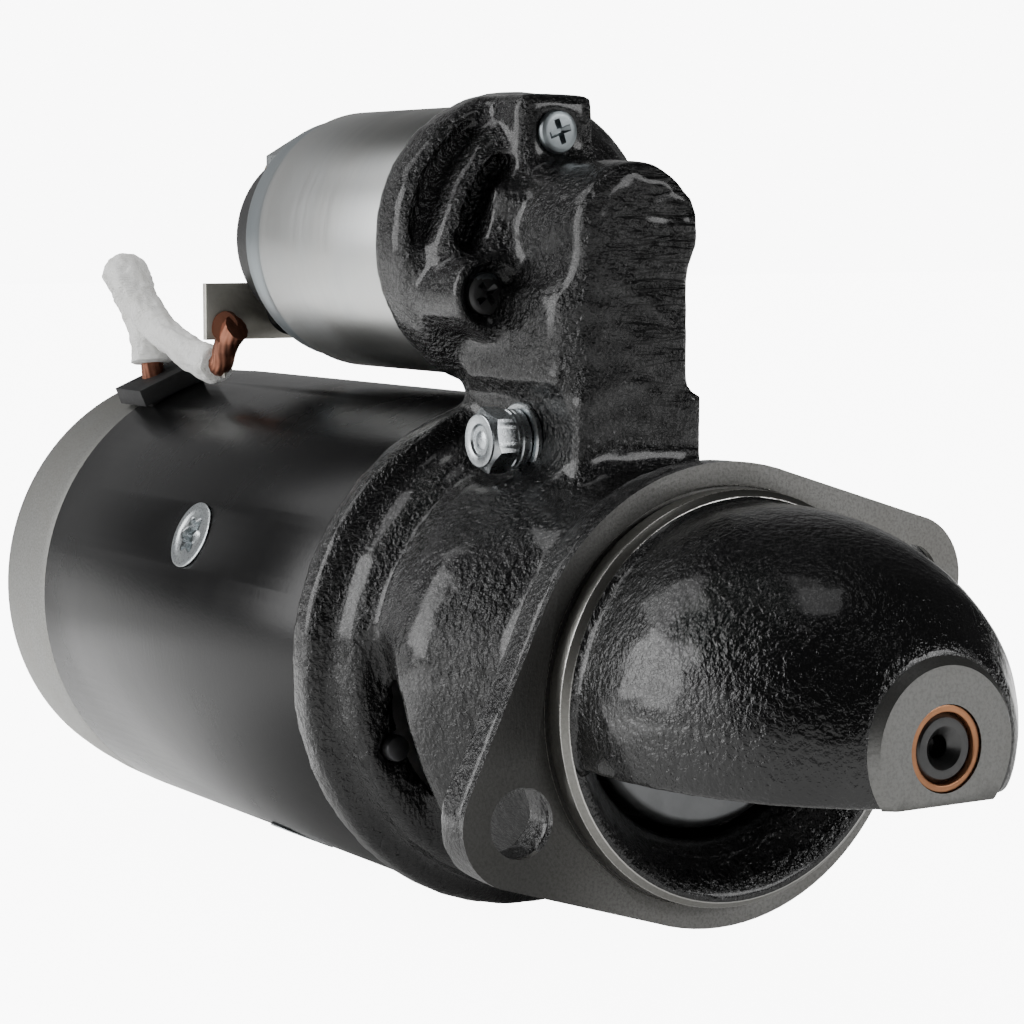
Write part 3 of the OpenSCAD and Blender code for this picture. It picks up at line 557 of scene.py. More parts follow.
# %% Finish: woven sleeve
def woven_sleeve():
    material, b, shader = new_finish("woven_glass_sleeve", (0.8, 0.8, 0.77), 0.85, Sheen_Weight=0.35,
                                     Sheen_Roughness=0.5)
    place = b.place()
    weave = []
    for turn in (0.6, -0.6):
        turned = b.add("ShaderNodeMapping", Vector=place, Rotation=(0.0, turn, 0.4)).outputs["Vector"]
        weave.append(b.add("ShaderNodeTexWave", {"wave_type": "BANDS"}, Vector=turned, Scale=420.0,
                           Distortion=2.5, Detail=2.0).outputs["Fac"])
    yarn = b.math("MAXIMUM", weave[0], weave[1])
    fluff = b.noise(place, 900.0, 4.0, 0.7)
    soil = b.noise(place, 130.0, 3.0, 0.6)
    soiled = b.ramp(soil, 0.45, 0.75)
    b.put(shader.inputs["Base Color"], b.mix(soiled, (0.93, 0.93, 0.91, 1), (0.78, 0.775, 0.74, 1)))
    bump(b, shader, b.plus(b.times(yarn, 0.6), fluff), 0.0004, 0.7)
    return material


SLEEVE = woven_sleeve()
print("finishes", len(bpy.data.materials))

# %% [markdown]
# ## The casting
# The housing is one iron casting, so its corners are rounded by sand and softened by paint, while the
# faces that were machined later stay crisp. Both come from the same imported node. A voxel remesh
# makes an even skin, and smoothing that skin melts the corners into cast fillets. The machined zone
# is a straight slice of the original mesh, put back between the softened parts.

# %% Remesh a copy into an even skin
def even_skin(bm, voxel):
    raw = mesh_object(bm, "skin")
    remesh = raw.modifiers.new("even", "REMESH")
    remesh.mode = "VOXEL"
    remesh.voxel_size = voxel
    graph = bpy.context.evaluated_depsgraph_get()
    skin = bmesh.new()
    skin.from_mesh(bpy.data.meshes.new_from_object(raw.evaluated_get(graph)))
    bpy.data.objects.remove(raw)
    return skin


def soften(bm, verts, passes):
    for _ in range(passes):
        bmesh.ops.smooth_vert(bm, verts=verts, factor=0.5, use_axis_x=True, use_axis_y=True,
                              use_axis_z=True)

# %% [markdown]
# `slice_x` keeps what lies between two planes across the shaft and closes the cut with faces.
# `join_into` adds one bmesh to another.

# %% Cut a slice across the shaft
def slice_x(bm, low=None, high=None):
    for place, side in ((low, -1), (high, 1)):
        if place is None:
            continue
        everything = bm.verts[:] + bm.edges[:] + bm.faces[:]
        cut = bmesh.ops.bisect_plane(bm, geom=everything, plane_co=(place, 0, 0), plane_no=(side, 0, 0),
                                     clear_outer=True, dist=0.001 * MM)
        rim = [g for g in cut["geom_cut"] if isinstance(g, bmesh.types.BMEdge)]
        bmesh.ops.triangle_fill(bm, edges=rim, use_beauty=True)
    bmesh.ops.recalc_face_normals(bm, faces=bm.faces)
    return bm


def join_into(target, part):
    mesh = bpy.data.meshes.new("part")
    part.to_mesh(mesh)
    part.free()
    target.from_mesh(mesh)
    bpy.data.meshes.remove(mesh)

# %% [markdown]
# Wide fillets that a small smoothing can't reach are built up first, as a foundry pattern maker does
# with wax: tapered bars laid in the corners, which the remesh then fuses to the casting. The neck
# meets the bell, and the collar meets the neck, through such fillets. The upright bars stand wide of
# the middle, because the shift lever swings in the slot between them. A slab thickens the neck's side.

# %% Lay wax in the corners
def wax_bar(bm, start, end, radius, end_radius=None):
    start, end = Vector(start) * MM, Vector(end) * MM
    turn = (end - start).to_track_quat("Z", "Y").to_matrix().to_4x4()
    bmesh.ops.create_cone(bm, cap_ends=True, segments=24, radius1=radius * MM,
                          radius2=(end_radius or radius) * MM, depth=(end - start).length,
                          matrix=Matrix.Translation((start + end) / 2) @ turn)


def add_wax(bm):
    wax_bar(bm, (-80, -14.5, 47.5), (-36, -14.5, 43), 4.5)
    wax_bar(bm, (-80, 14.5, 47.5), (-36, 14.5, 43), 4.5)
    wax_bar(bm, (-31.2, -12, 42.6), (-31.2, 12, 42.6), 4.2)
    wax_bar(bm, (-78, -14.8, 66), (-62, -14.6, 108), 4.0, 4.4)
    wax_bar(bm, (-78, 14.8, 66), (-62, 14.6, 108), 4.0, 4.4)
    bmesh.ops.create_cube(bm, size=1.0, matrix=Matrix.Translation(Vector((-55.2, -14.6, 74.7)) * MM)
                          @ Matrix.Diagonal(Vector((40.0, 9.6, 20.8, 1000.0)) * MM))

# %% [markdown]
# Two more jobs follow on the remeshed skin. `melt` goes on smoothing only the points that a rule
# chooses. `swell` gives the bell a soft belly behind the flange and a waist just before it: two bell
# curves along the shaft, faded out towards the neck and the yoke, on faces that look outwards.

# %% Melt and swell the skin
def melt(skin, passes, chosen):
    verts = [v for v in skin.verts if chosen(*(c / MM for c in v.co))]
    soften(skin, verts, passes)
    return len(verts)


def swell(skin):
    skin.normal_update()
    for v in skin.verts:
        x, y, z = (c / MM for c in v.co)
        radius = math.hypot(y, z)
        inwards = v.normal.y * y + v.normal.z * z < 0
        if inwards or not (-63 < x < -10.5 and 43 < radius < 54 and z < 36):
            continue
        high = 2.4 * math.exp(-((x + 42.5) / 11) ** 2) - 2.7 * math.exp(-((x + 20) / 6.5) ** 2)
        fade = min(1.0, (36 - z) / 8, (x + 63) / 5)
        v.co.y *= 1 + fade * high / radius
        v.co.z *= 1 + fade * high / radius

# %% [markdown]
# The neck's front face was never fettled: it keeps level ripples where the iron chilled against the
# sand. A function of the point gives their height, and only points on that face move.

# %% Ripple the neck's front face
def ripple(bm):
    moved = 0
    for v in bm.verts:
        x, y, z = (c / MM for c in v.co)
        if x < -37 or abs(y) > 15.4 or z < 42 or v.normal.x < 0.5:
            continue
        fade = min(1.0, (y + 13) / 5, (15.4 - y) / 1.5, (z - 42) / 6)
        fade *= min(1.0, max(0.0, (v.normal.x - 0.5) / 0.25))
        fade *= 0.3 + 0.7 * max(0.0, min(1.0, (z - 66) / 25)) * max(0.25, min(1.0, (y + 10) / 12))
        wander = noise.noise(Vector((y * 0.12, z * 0.06, 3.0))) * 5 + 0.12 * y
        wave = noise.noise(Vector((y * 0.05, (z + wander) * 0.42, 1.0)))
        fine = noise.noise(Vector((y * 0.13, (z + wander) * 0.8, 8.0)))
        v.co.x += fade * (-0.4 * max(0.0, 0.3 - abs(wave)) / 0.3 + 0.2 * fine - 0.1) * MM
        moved += 1
    return moved

# %% [markdown]
# Sand leaves the whole skin slightly lumpy, at a scale that shows in the outline. Each point moves
# along its normal by a soft noise, less on the nose, which was cast in finer sand.

# %% Give the skin its lumps
def lumpy(bm, depth, size):
    bm.normal_update()
    for v in bm.verts:
        shift = noise.noise(v.co / (size * MM)) + 0.5 * noise.noise(v.co / (size * 0.4 * MM))
        v.co += v.normal * (shift * depth - depth * 0.4) * MM

# %% [markdown]
# The back of the casting, with its bell, neck and collar, is rougher than the nose. Each is made from
# its own copy of the node and cut off at the machined slices.

# %% Cast the back and the nose
def cast_back():
    bm = bench_copy("drive_end_housing", flat=False)
    add_wax(bm)
    skin = even_skin(bm, 1.35 * MM)
    soften(skin, skin.verts, 7)
    print("melted points", melt(skin, 22, lambda x, y, z: x > -42 and z > 66 and (y < 4 or z > 106)))
    swell(skin)
    skin.normal_update()
    print("rippled points", ripple(skin))
    lumpy(skin, 0.16, 5.0)
    return slice_x(skin, high=CUT_BACK)


def cast_nose():
    bm = bench_copy("drive_end_housing", flat=False)
    skin = even_skin(bm, 1.2 * MM)
    soften(skin, skin.verts, 6)
    lumpy(skin, 0.07, 4.0)
    return slice_x(skin, low=CUT_FRONT, high=CUT_NOSE)

# %% [markdown]
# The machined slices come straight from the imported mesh. Their faces are sorted by where they are and
# which way they look: the flange's face and the register were cut, the rest of the slice was not.
# The register's turned edges get a narrow bright chamfer of their own.

# %% Sort the machined faces
PAINT, FLANGE, REGISTER, NOSE_CUT, EDGE = range(5)


def break_turned_edges(bm, width, inner, outer):
    def turned(edge):
        a, b = (math.hypot(v.co.y, v.co.z) / MM for v in edge.verts)
        return abs(a - b) < 0.05 and inner < a < outer and edge.verts[0].co.x > -0.1 * MM
    for face in bevel(bm, [e for e in hard_edges(bm, 30) if turned(e)], width * MM):
        face.material_index = EDGE
    return bm


def machined_middle():
    bm = slice_x(bench_copy("drive_end_housing", flat=False), low=CUT_BACK, high=CUT_FRONT)
    bmesh.ops.dissolve_limit(bm, angle_limit=math.radians(0.4), verts=bm.verts, edges=bm.edges)
    for face in bm.faces:
        centre = face.calc_center_median()
        radius = math.hypot(centre.y, centre.z) / MM
        outwards = face.normal.y * centre.y + face.normal.z * centre.z
        if face.normal.x > 0.95 and centre.x < 0.3 * MM:
            face.material_index = FLANGE
        elif radius > 46 and abs(face.normal.x) < 0.1 and outwards < 0:
            face.material_index = REGISTER
        elif 40.5 < radius < 45.5 and centre.x > -1.3 * MM and (outwards > 0 or face.normal.x > 0.7):
            face.material_index = REGISTER
    return break_turned_edges(bm, 0.16, 42.0, 45.2)


def machined_nose():
    bm = slice_x(bench_copy("drive_end_housing", flat=False), low=CUT_NOSE)
    for face in bm.faces:
        if face.normal.x > 0.3:
            face.material_index = NOSE_CUT
    return bm

# %% [markdown]
# The four slices become one piece with five finishes, in the order of the names above.

# %% Assemble the casting
casting = cast_back()
join_into(casting, machined_middle())
join_into(casting, cast_nose())
join_into(casting, machined_nose())
print("casting", len(casting.faces), "faces")
coats = [BLACK_CASTING, MILLED_FLANGE, TURNED_REGISTER, NOSE_FACE, BRIGHT_EDGE]
replace(finish(casting, "housing_casting", "root", coats, 38.0), "drive_end_housing")

# %% [markdown]
# ## Turned shells
# The yoke, the rear cover and the solenoid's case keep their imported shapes. A small bevel on every
# hard edge gives each one the thin line of light that a real edge has. Only the moulded cap changes:
# `draw_in` tapers its side towards its back, as the mould's draft does.

# %% Break the edges of the shells
def draw_in(bm):
    for v in bm.verts:
        x, up = v.co.x / MM, v.co.z - SOL_Z
        radius = math.hypot(v.co.y, up) / MM
        if -184.3 < x < -167.5 and radius > 24.9:
            scale = 1 - (2.6 + 1.6 * min(1.0, (-168 - x) / 14)) / radius
            v.co.y *= scale
            v.co.z = SOL_Z + up * scale


def dressed(node, body, material, width, shape=None):
    bm = bench_copy(node)
    if shape:
        shape(bm)
    hard = hard_edges(bm, 32)
    print(node, "edges broken", len(hard))
    bevel(bm, hard, width * MM)
    bmesh.ops.triangulate(bm, faces=[f for f in bm.faces if len(f.verts) > 4])
    replace(finish(bm, node + "_dressed", body, [material]), node)


dressed("rear_cover", "root", TUMBLED_ALUMINIUM, 0.3)
dressed("yoke", "root", SATIN_BLACK, 0.3)
dressed("solenoid_case", "root", BRUSHED_ZINC, 0.25)
dressed("solenoid_cap", "root", BLACK_CAP, 0.4, shape=draw_in)
dressed("clutch_cover", "drive", DRUM_STEEL, 0.8)
dressed("nose_bush", "root", BRONZE, 0.35)
dressed("armature_shaft", "armature", SHAFT_STEEL, 0.4)
dressed("end_cap", "root", DULL_ZINC, 0.3)
dressed("terminal_strap", "root", TINNED, 0.35)
dressed("trigger_blade", "root", TINNED, 0.2)
dressed("lead_grommet", "root", RUBBER, 0.7)
dressed("pinion", "pinion", STEEL, 0.2)

# %% [markdown]
# ## Fasteners
# A bolt, nut or screw is a stack of rings about its axis. A ring is round, or it follows a rule that
# gives its radius at each turn, which makes a hexagon or a socket. Each ring is extruded from the
# last one and put in its place, and a ring of no radius closes an end.

# %% Build a form from rings
def next_ring(bm, edges):
    made = bmesh.ops.extrude_edge_only(bm, edges=edges)["geom"]
    return [[g for g in made if isinstance(g, kind)] for kind in (bmesh.types.BMVert, bmesh.types.BMEdge)]


def ring_stack(levels, steps=96):
    bm = bmesh.new()
    bmesh.ops.create_circle(bm, segments=steps, radius=1.0)
    ring, edges = bm.verts[:], bm.edges[:]
    for count, (height, radius) in enumerate(levels):
        if count:
            ring, edges = next_ring(bm, edges)
        for v in ring:
            turn = math.atan2(v.co.y, v.co.x)
            r = max(0.001, radius(turn) if callable(radius) else radius) * MM
            z = (height(turn) if callable(height) else height) * MM
            v.co = (r * math.cos(turn), r * math.sin(turn), z)
    bmesh.ops.remove_doubles(bm, verts=bm.verts, dist=0.003 * MM)
    bmesh.ops.recalc_face_normals(bm, faces=bm.faces)
    return bm


def stand(bm, place, direction, spin=0.0):
    turn = Vector(direction).to_track_quat("Z", "Y").to_matrix().to_4x4()
    bm.transform(Matrix.Translation(Vector(place) * MM) @ turn
                 @ Matrix.Rotation(math.radians(spin), 4, "Z"))
    return bm

# %% [markdown]
# A hexagon's radius grows towards its corners, and a chamfered end drops there, which gives the curved
# corner facets of a real bolt head. A star socket is a circle with six soft lobes, and a cross recess
# is four arms of one width.

# %% Rules for hexagons and sockets
def hexagon(flats):
    return lambda turn: flats / 2 / math.cos((turn + math.pi / 6) % (math.pi / 3) - math.pi / 6)


def chamfered(height, flats, sign=1):
    corner = hexagon(flats)
    return lambda turn: height - sign * 0.5 * max(0.0, corner(turn) - flats / 2 * 0.985)


def star(size):
    return lambda turn: size * (1.0 + 0.16 * math.cos(6 * turn))


def cross(length, half_width):
    def radius(turn):
        c, s = abs(math.cos(turn)), abs(math.sin(turn))
        wide, narrow = max(c, s), max(min(c, s), 0.0001)
        return min(length / wide, half_width / narrow)
    return radius

# %% [markdown]
# The pivot bolt carries the shift lever. Its zinc head is a hexagon on a washer face, with a round
# raised top and a dished centre. Under it lie a split spring washer and a flat washer.

# %% Pivot bolt, washers and nut
PIVOT_AT = (PIVOT.x / MM, 0, PIVOT.z / MM)
bolt = ring_stack([(-24.8, 0), (-24.8, 3.4), (-24.2, 4), (20.6, 4), (20.6, 6.6), (20.8, 6.85),
                   (21.5, 6.85), (chamfered(21.6, 13, -1), hexagon(13)), (chamfered(26.9, 13), hexagon(13)),
                   (27.35, 6.15), (27.5, 6.0), (28.0, 5.9), (28.1, 5.7), (28.1, 4.2), (27.9, 3.7),
                   (27.4, 3.3), (27.35, 2.2), (27.6, 1.6), (27.65, 0)], 144)
replace(finish(stand(bolt, PIVOT_AT, (0, -1, 0), 12), "pivot_bolt_zinc", "root", [ZINC], 25),
        "pivot_bolt")


def washer(inner, outer, low, high, edge):
    return ring_stack([(low, inner), (low, outer - edge), (low + edge, outer), (high - edge, outer),
                       (high, outer - edge), (high, inner + edge), (high - edge, inner), (low, inner)], 120)


def spring_washer():
    bm = washer(4.1, 6.8, 18.0, 20.4, 0.3)
    gap = [f for f in bm.faces if abs(f.calc_center_median().y) < 0.35 * MM
           and f.calc_center_median().x > 0]
    bmesh.ops.delete(bm, geom=gap, context="FACES")
    bmesh.ops.holes_fill(bm, edges=[e for e in bm.edges if e.is_boundary], sides=0)
    for v in bm.verts:
        v.co.z += 0.18 * MM * math.atan2(v.co.y, v.co.x) / math.pi
    return bm


washers = spring_washer()
join_into(washers, washer(4.1, 8.2, 16.2, 17.8, 0.35))
replace(finish(stand(washers, PIVOT_AT, (0, -1, 0), -70), "pivot_washers_zinc", "root", [ZINC], 28),
        "pivot_washers")
nut = ring_stack([(16.2, 4), (16.2, 6), (chamfered(16.5, 13, -1), hexagon(13)),
                  (chamfered(22.5, 13), hexagon(13)), (22.7, 5.8), (22.7, 4.4), (22.3, 4), (16.2, 4)], 144)
replace(finish(stand(nut, PIVOT_AT, (0, 1, 0)), "pivot_nut_zinc", "root", [ZINC], 28), "pivot_nut")

# %% [markdown]
# Four countersunk screws hold the pole shoes. Each has a star socket sunk in a flat head with a thin
# bright rim, and it lies just above the yoke's skin.

# %% Pole screws
POLE_TURNS = (66, 156, 246, 336)


def around(bm, degrees):
    bm.transform(Matrix.Rotation(math.radians(degrees), 4, "X"))
    return bm


def pole_screw():
    bm = ring_stack([(41.6, 0), (41.6, 4.2), (42.2, 4.8), (54.5, 4.8), (58.6, 8.2), (59.0, 8.4),
                     (59.2, 8.35), (59.3, 8.1), (59.3, 6.3), (59.1, 5.9), (59.1, star(4.3)),
                     (58.9, star(4.1)),
                     (56.6, star(3.7)), (56.2, 2.2), (56.1, 0)])
    return stand(bm, (middle("pole_screws", 0) / MM, 0, 0), (0, 1, 0))


screws = bmesh.new()
for turn in POLE_TURNS:
    join_into(screws, around(pole_screw(), turn))
replace(finish(screws, "pole_screws_zinc", "root", [ZINC], 28), "pole_screws")

# %% [markdown]
# Three screws pull the solenoid against the collar. Their pan heads have a cross recess. The lower
# two, which sit in deep recesses, are coloured darker.

# %% Solenoid screws
SCREW_CIRCLE = 25


def solenoid_screw(spin):
    bm = ring_stack([(-86, 0), (-86, 2.05), (-61.8, 2.05), (-61.6, 4.6), (-61.3, 4.9), (-60.5, 4.9),
                     (-59.9, 4.6), (-59.65, 3.9), (-59.6, 3.4), (-59.6, cross(2.9, 0.75)),
                     (-60.2, cross(2.5, 0.62)), (-61.4, cross(1.3, 0.5)), (-61.4, 0)])
    return stand(bm, (0, 0, 0), (1, 0, 0), spin)


screws = bmesh.new()
for turn, spin in ((97, 20), (207, 38), (333, 10)):
    one = solenoid_screw(spin)
    side, up = (SCREW_CIRCLE * MM * rule(math.radians(turn)) for rule in (math.cos, math.sin))
    bmesh.ops.translate(one, verts=one.verts, vec=(0, side, SOL_Z + up))
    join_into(screws, one)
for face in screws.faces:
    # The screws below the solenoid's axis take the darker steel.
    face.material_index = 1 if face.calc_center_median().z < SOL_Z - 0.008 else 0
replace(finish(screws, "solenoid_screws_dull", "root", [DULL_ZINC, DARKER_SCREW_STEEL], 28),
        "solenoid_screws")

# %% [markdown]
# Two long bolts run from the rear cover to pockets in the bell, where their rounded tips just show.

# %% Through bolts
BOLT_TURN, BOLT_CIRCLE = 201.8, 46.2


def through_bolt():
    bm = ring_stack([(-267.1, 0), (-267.1, 4.2), (chamfered(-266.9, 10, -1), hexagon(10)),
                     (-262.9, hexagon(10)), (-262.9, 6.0), (-262.7, 6.2), (-261.5, 6.2),
                     (-261.5, 3), (-64.9, 3), (-64.1, 2.75),
                     (-63.85, 2.2), (-63.8, 0)], 72)
    return stand(bm, (0, BOLT_CIRCLE, 0), (1, 0, 0))


bolts = bmesh.new()
for side in (0, 180):
    join_into(bolts, around(through_bolt(), BOLT_TURN + side))
replace(finish(bolts, "through_bolts_zinc", "root", [DARK_STEEL], 28), "through_bolts")

# %% [markdown]
# ## The field lead
# A tinned strap, a copper lead and a woven sleeve join the solenoid to the field coils. The lead is
# held at both ends, so it isn't a free cord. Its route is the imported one: up from the grommet, over,
# and down to the strap. A smooth curve through the route's points carries the rings of each piece,
# and a place on the route is a number from 0 at the grommet to the number of the last point.

# %% The lead's route
LEAD = [(-228, -25, 52), (-228, -26, 58), (-229, -26, 64), (-232, -26, 70), (-237, -26, 75.5),
        (-241, -26.5, 80.5), (-241.5, -28, 85), (-237, -29.5, 86.5), (-232, -30, 83.5),
        (-227.5, -29.5, 78.5), (-220, -28.5, 72.5), (-209, -27.5, 67.5), (-199, -26.5, 64.5),
        (-192, -25.5, 62.8), (-188, -25, 63.5), (-187, -24.6, 66.8), (-185.3, -24, 70.3),
        (-182, -23.5, 72.8)]


def on_route(t):
    i = min(int(t), len(LEAD) - 2)
    f = t - i
    a, b, c, d = (Vector(LEAD[min(max(i + k, 0), len(LEAD) - 1)]) for k in (-1, 0, 1, 2))
    bend = (2 * a - 5 * b + 4 * c - d) * f * f
    return 0.5 * (2 * b + (c - a) * f + bend + (3 * b - a - 3 * c + d) * f ** 3)


def swept(first, last, rings, shape, steps=48):
    bm = bmesh.new()
    bmesh.ops.create_circle(bm, segments=steps, radius=1.0)
    ring, edges = bm.verts[:], bm.edges[:]
    turns = {v: math.atan2(v.co.y, v.co.x) for v in ring}
    side = Vector((0, 1, 0))
    for count in range(rings + 1):
        t = first + (last - first) * count / rings
        ahead = (on_route(min(t + 0.05, len(LEAD) - 1)) - on_route(t - 0.05)).normalized()
        wide = side - ahead * side.dot(ahead)
        wide.normalize()
        deep = ahead.cross(wide)
        if count:
            old = {tuple(round(c, 9) for c in v.co): turns[v] for v in ring}
            ring, edges = next_ring(bm, edges)
            turns = {v: old[tuple(round(c, 9) for c in v.co)] for v in ring}
        for v in ring:
            w, d = shape(t, turns[v], count / rings)
            v.co = (on_route(t) + wide * w * math.cos(turns[v]) + deep * d * math.sin(turns[v])) * MM
    bmesh.ops.holes_fill(bm, edges=[e for e in bm.edges if e.is_boundary], sides=0)
    bmesh.ops.recalc_face_normals(bm, faces=bm.faces)
    return bm

# %% [markdown]
# The sleeve is slack on its lead. It is pinched flat and wide where it folds over at the top, narrow
# and round in its legs, and creased along and across. Ridges that follow its length and a wrinkle
# noise that grows towards the fold shape each ring.

# %% The woven sleeve
def sleeve_shape(t, turn, along):
    fold = math.exp(-((t - 6.8) / 2.4) ** 2)
    foot = math.exp(-((t - 1.6) / 1.2) ** 2)
    low_end = math.exp(-((t - 13.2) / 1.2) ** 2)
    point = Vector((math.cos(turn) * 1.3, math.sin(turn) * 1.3, t * 1.5))
    crease = noise.noise(point) * 0.6 + noise.noise(point * 2.4) * 0.42 + noise.noise(point * 6) * 0.12
    ridge = 0.2 * math.sin(5 * turn + 2.2 * math.sin(t * 0.8))
    wide = 4.3 + 1.5 * fold + 1.3 * foot + 0.7 * low_end + crease + ridge
    deep = 4.2 + 0.35 * fold + 0.5 * foot + 0.5 * low_end + crease + ridge * 0.6
    rim = min(1.0, min(along, 1 - along) * 60 + 0.86)
    return wide * rim, deep * rim


sleeve = swept(1.6, 13.5, 130, sleeve_shape, 64)
replace(finish(sleeve, "lead_sleeve_woven", "root", [SLEEVE], 50), "lead_sleeve")

# %% [markdown]
# Under the sleeve the lead is a bundle of copper strands with a slow twist. Its end is pressed oval
# against the strap and welded, which leaves a small upset pad of copper, slightly uneven all round.

# %% The copper lead
def braid_shape(t, turn, along):
    press = max(0.0, min(1.0, (t - 14.5) / 1.5))
    strands = 0.16 * abs(math.sin(6 * turn + t * 2.4))
    return 2.9 + 0.1 * press + strands, 2.85 + 0.9 * press + strands


braid = swept(0.0, len(LEAD) - 1, 150, braid_shape, 72)
facing = Vector((0.8, -0.58, 0.12)).to_track_quat("Z", "Y").to_matrix().to_4x4()
pad = bmesh.new()
bmesh.ops.create_cone(pad, cap_ends=True, segments=48, radius1=3.9 * MM, radius2=3.6 * MM, depth=3.4 * MM,
                      matrix=Matrix.Translation(Vector((-185.6, -24.9, 72.6)) * MM) @ facing
                      @ Matrix.Diagonal(Vector((0.92, 1.12, 1.0, 1.0))))
for v in pad.verts:
    v.co += Vector((0.3, 0.0, 0.5)) * MM * noise.noise(v.co * 400)
join_into(braid, pad)
replace(finish(braid, "lead_braid_copper", "root", [COPPER], 40), "lead_braid")

# %% [markdown]
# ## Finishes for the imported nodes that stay
# Most inner pieces are right as packed. They only need their metal, and each takes it through its
# own material slots.

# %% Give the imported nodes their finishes
KEPT = {
    "centre_bearing_plate": STEEL, "centre_bush": BRONZE, "rear_bush": BRONZE, "pole_shoes": LAMINATED,
    "field_coils": COPPER, "end_cap_screws": ZINC, "brush_plate": BRASS, "solenoid_coil": COPPER,
    "coil_tube": BRASS, "solenoid_core": DARK_STEEL, "battery_stud": BRASS, "motor_stud": BRASS,
    "stud_nuts": ZINC, "stud_washers": ZINC, "armature_core": LAMINATED,
    "armature_winding": COPPER, "commutator": COPPER, "stop_ring": STEEL, "stop_circlip": DARK_STEEL,
    "thrust_washer": DARK_STEEL, "guide_sleeve": STEEL, "clutch_drum": DRUM_STEEL, "clutch_rollers": STEEL,
    "engagement_spring": STEEL, "shift_lever": DARK_STEEL, "plunger": STEEL, "plunger_hook": STEEL,
    "contact_rod": STEEL, "contact_disc": COPPER,
}
for number in range(1, 5):
    KEPT["brush_%d" % number] = CARBON
for node, material in KEPT.items():
    slots = nodes[node].material_slots
    if not slots:
        print("no slot on", node)
    for place in slots:
        place.material = material
print("kept nodes", len(KEPT))

# %% [markdown]
# ## Springs
# The plunger's return spring and the four brush springs stand between a fixed part and a moving one.
# Each is copied into a piece with a mesh of its own, in plain steel. The brush springs stand at the
# same turns as the pole screws.

# %% Live springs
def live_spring(node):
    piece = finish(bench_copy(node, flat=False), node + "_live", "root", [STEEL], 50)
    replace(piece, node)
    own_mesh(piece)


live_spring("return_spring")
for number, angle in enumerate(POLE_TURNS, 1):
    live_spring("brush_spring_%d" % number)

# %% [markdown]
# ## Floor, light and camera
# The motor hangs from its register on an engine, so here it simply rests on its widest ring. The floor
# is pale and plain. It glows white to the camera, and to reflections only far out on the left, where
# that glow lights the lower side of the yoke.

# %% Floor
PAPER_WHITE = 9.0


def lay_floor():
    material, b, shader = new_finish("pale_floor", (0.9, 0.9, 0.89), 0.7, Specular_IOR_Level=0.1,
                                     Emission_Color=(1, 1, 1, 1))
    place = b.place()
    ray = b.add("ShaderNodeLightPath").outputs
    along = b.split(place)["X"]
    far_left = b.times(b.ramp(along, -0.24, -0.12, 1.1, 0.0),
                      b.ramp(along, -0.6, -0.38, 0.04, 1.0))
    seen = b.times(ray["Is Camera Ray"], PAPER_WHITE - 0.3)
    reflected = b.times(ray["Is Glossy Ray"], far_left)
    b.put(shader.inputs["Emission Strength"], b.plus(seen, reflected))
    b.put(shader.inputs["Roughness"], b.plus(0.6, b.times(b.noise(place, 30.0), 0.2)))
    bm = bmesh.new()
    bmesh.ops.create_grid(bm, x_segments=1, y_segments=1, size=6.0,
                          matrix=Matrix.Translation((0, 0, cad_box[0][2] - 0.0004)))
    mesh_object(bm, "floor", [material])


lay_floor()

# %% [markdown]
# Black gloss shows only what it reflects, so the lights are the real modelling tool. A large soft box
# on the left draws the bright patches on the nose and the bell and the band on the solenoid. A second
# one from the right and behind lights the flange and the cover, and three dim ones fill the rest.

# %% Lights
def soft_box(name, place, aim, size, power, tall=None):
    data = bpy.data.lights.new(name, "AREA")
    data.shape = "RECTANGLE"
    data.size = size
    data.size_y = tall or size
    data.energy = power
    light = add_object(name, data)
    light.location = place
    light.rotation_euler = (Vector(aim) - Vector(place)).to_track_quat("-Z", "Y").to_euler()


AIM = (-0.08, 0.0, 0.03)
soft_box("left_box", (-0.68, -1.02, 0.37), AIM, 0.54, 6.8, 0.68)
soft_box("upper_left_box", (-0.84, -0.62, 0.91), AIM, 0.42, 1.5, 0.5)
soft_box("front_left_box", (-0.24, -1.22, 0.22), AIM, 0.4, 0.6, 0.4)
soft_box("top_box", (0.0, -0.08, 1.16), AIM, 0.4, 0.7)
soft_box("right_box", (1.05, 0.72, 0.5), (0.0, 0.0, 0.03), 0.6, 5.0, 0.4)

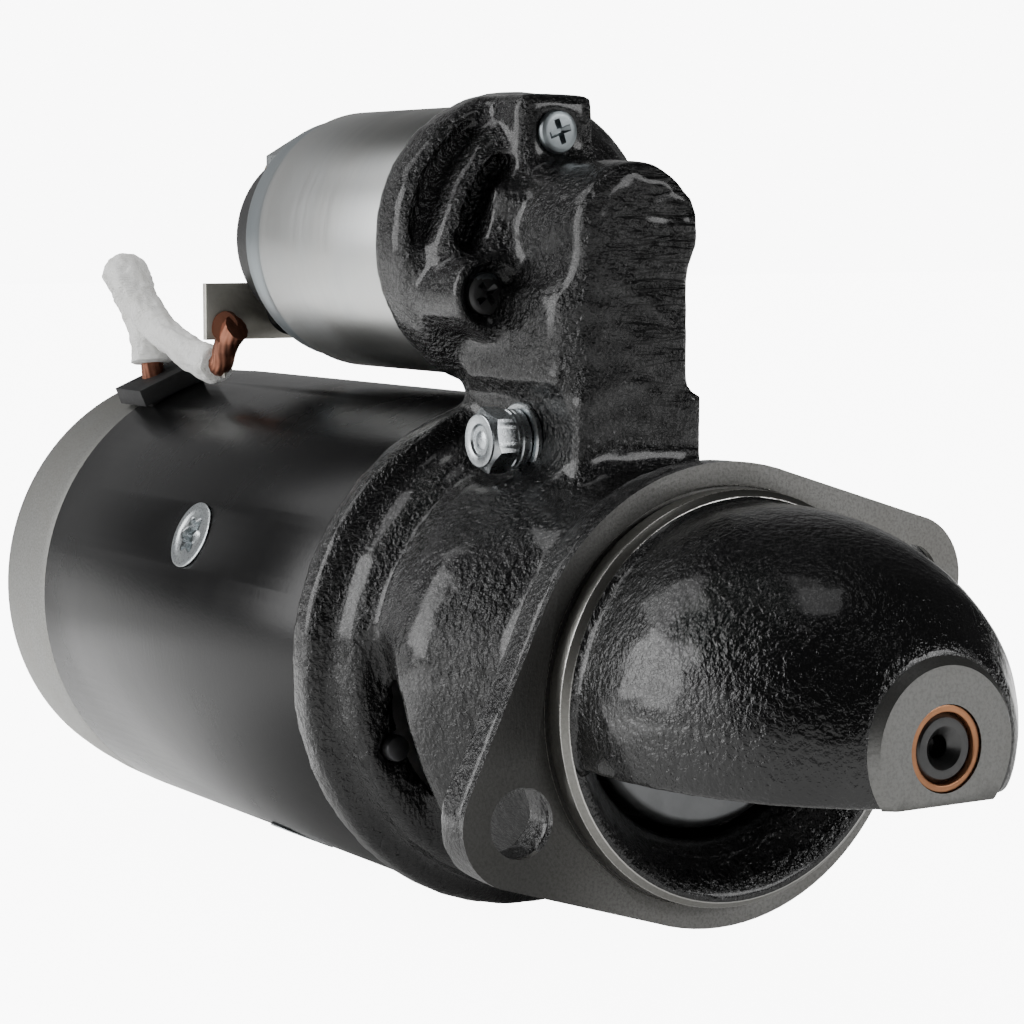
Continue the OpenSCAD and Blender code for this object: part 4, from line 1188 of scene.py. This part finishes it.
# %% [markdown]
# The world is white where the camera looks past the motor and nearly black in reflections, but for a
# pale patch low on the left, the way a small studio with dark walls behind the lights behaves. The
# camera looks a little down, from the right of the flange.

# %% World and camera
ROOM_LIGHT = 0.8


def paint_world():
    world = bpy.data.worlds.new("studio")
    bpy.context.scene.world = world
    world.use_nodes = True
    b = Bench(world.node_tree)
    out = next(n for n in world.node_tree.nodes if n.type == "OUTPUT_WORLD")
    dim = next(n for n in world.node_tree.nodes if n.type == "BACKGROUND")
    look = b.split(b.add("ShaderNodeTexCoord").outputs["Generated"])
    level = b.plus(0.03, b.times(b.ramp(look["X"], -0.88, -0.55, 1.0, 0.0),
                                       b.times(b.ramp(look["Z"], 0.3, 0.8, 0.32, 0.0),
                                              b.ramp(look["Y"], -0.5, -0.25, 0.1, 1.0))))
    grey = b.add("ShaderNodeCombineColor", Red=level, Green=level, Blue=level)
    b.put(dim.inputs["Color"], grey.outputs[0])
    ray = b.add("ShaderNodeLightPath").outputs
    seen = b.times(ray["Is Camera Ray"], PAPER_WHITE)
    spread = b.times(ray["Is Diffuse Ray"], ROOM_LIGHT)
    white = b.add("ShaderNodeBackground", Color=(1, 1, 1, 1), Strength=b.plus(seen, spread))
    both = b.add("ShaderNodeMixShader")
    b.put(both.inputs[0], ray["Is Glossy Ray"])
    b.put(both.inputs[1], white.outputs[0])
    b.put(both.inputs[2], dim.outputs[0])
    b.put(out.inputs["Surface"], both.outputs[0])


def set_camera(aim, azimuth, elevation, distance, view):
    turn, tilt = math.radians(azimuth), math.radians(elevation)
    back = Vector((math.cos(tilt) * math.sin(turn), -math.cos(tilt) * math.cos(turn), math.sin(tilt)))
    data = bpy.data.cameras.new("camera")
    data.sensor_width = 36.0
    data.angle = math.radians(view)
    data.clip_start = 0.01
    camera = add_object("camera", data)
    camera.location = Vector(aim) + back * distance
    camera.rotation_euler = (-back).to_track_quat("-Z", "Y").to_euler()
    bpy.context.scene.camera = camera


paint_world()
set_camera((-0.071, -0.0088, 0.0337), 58.22, 5.77, 0.677, 19.73)
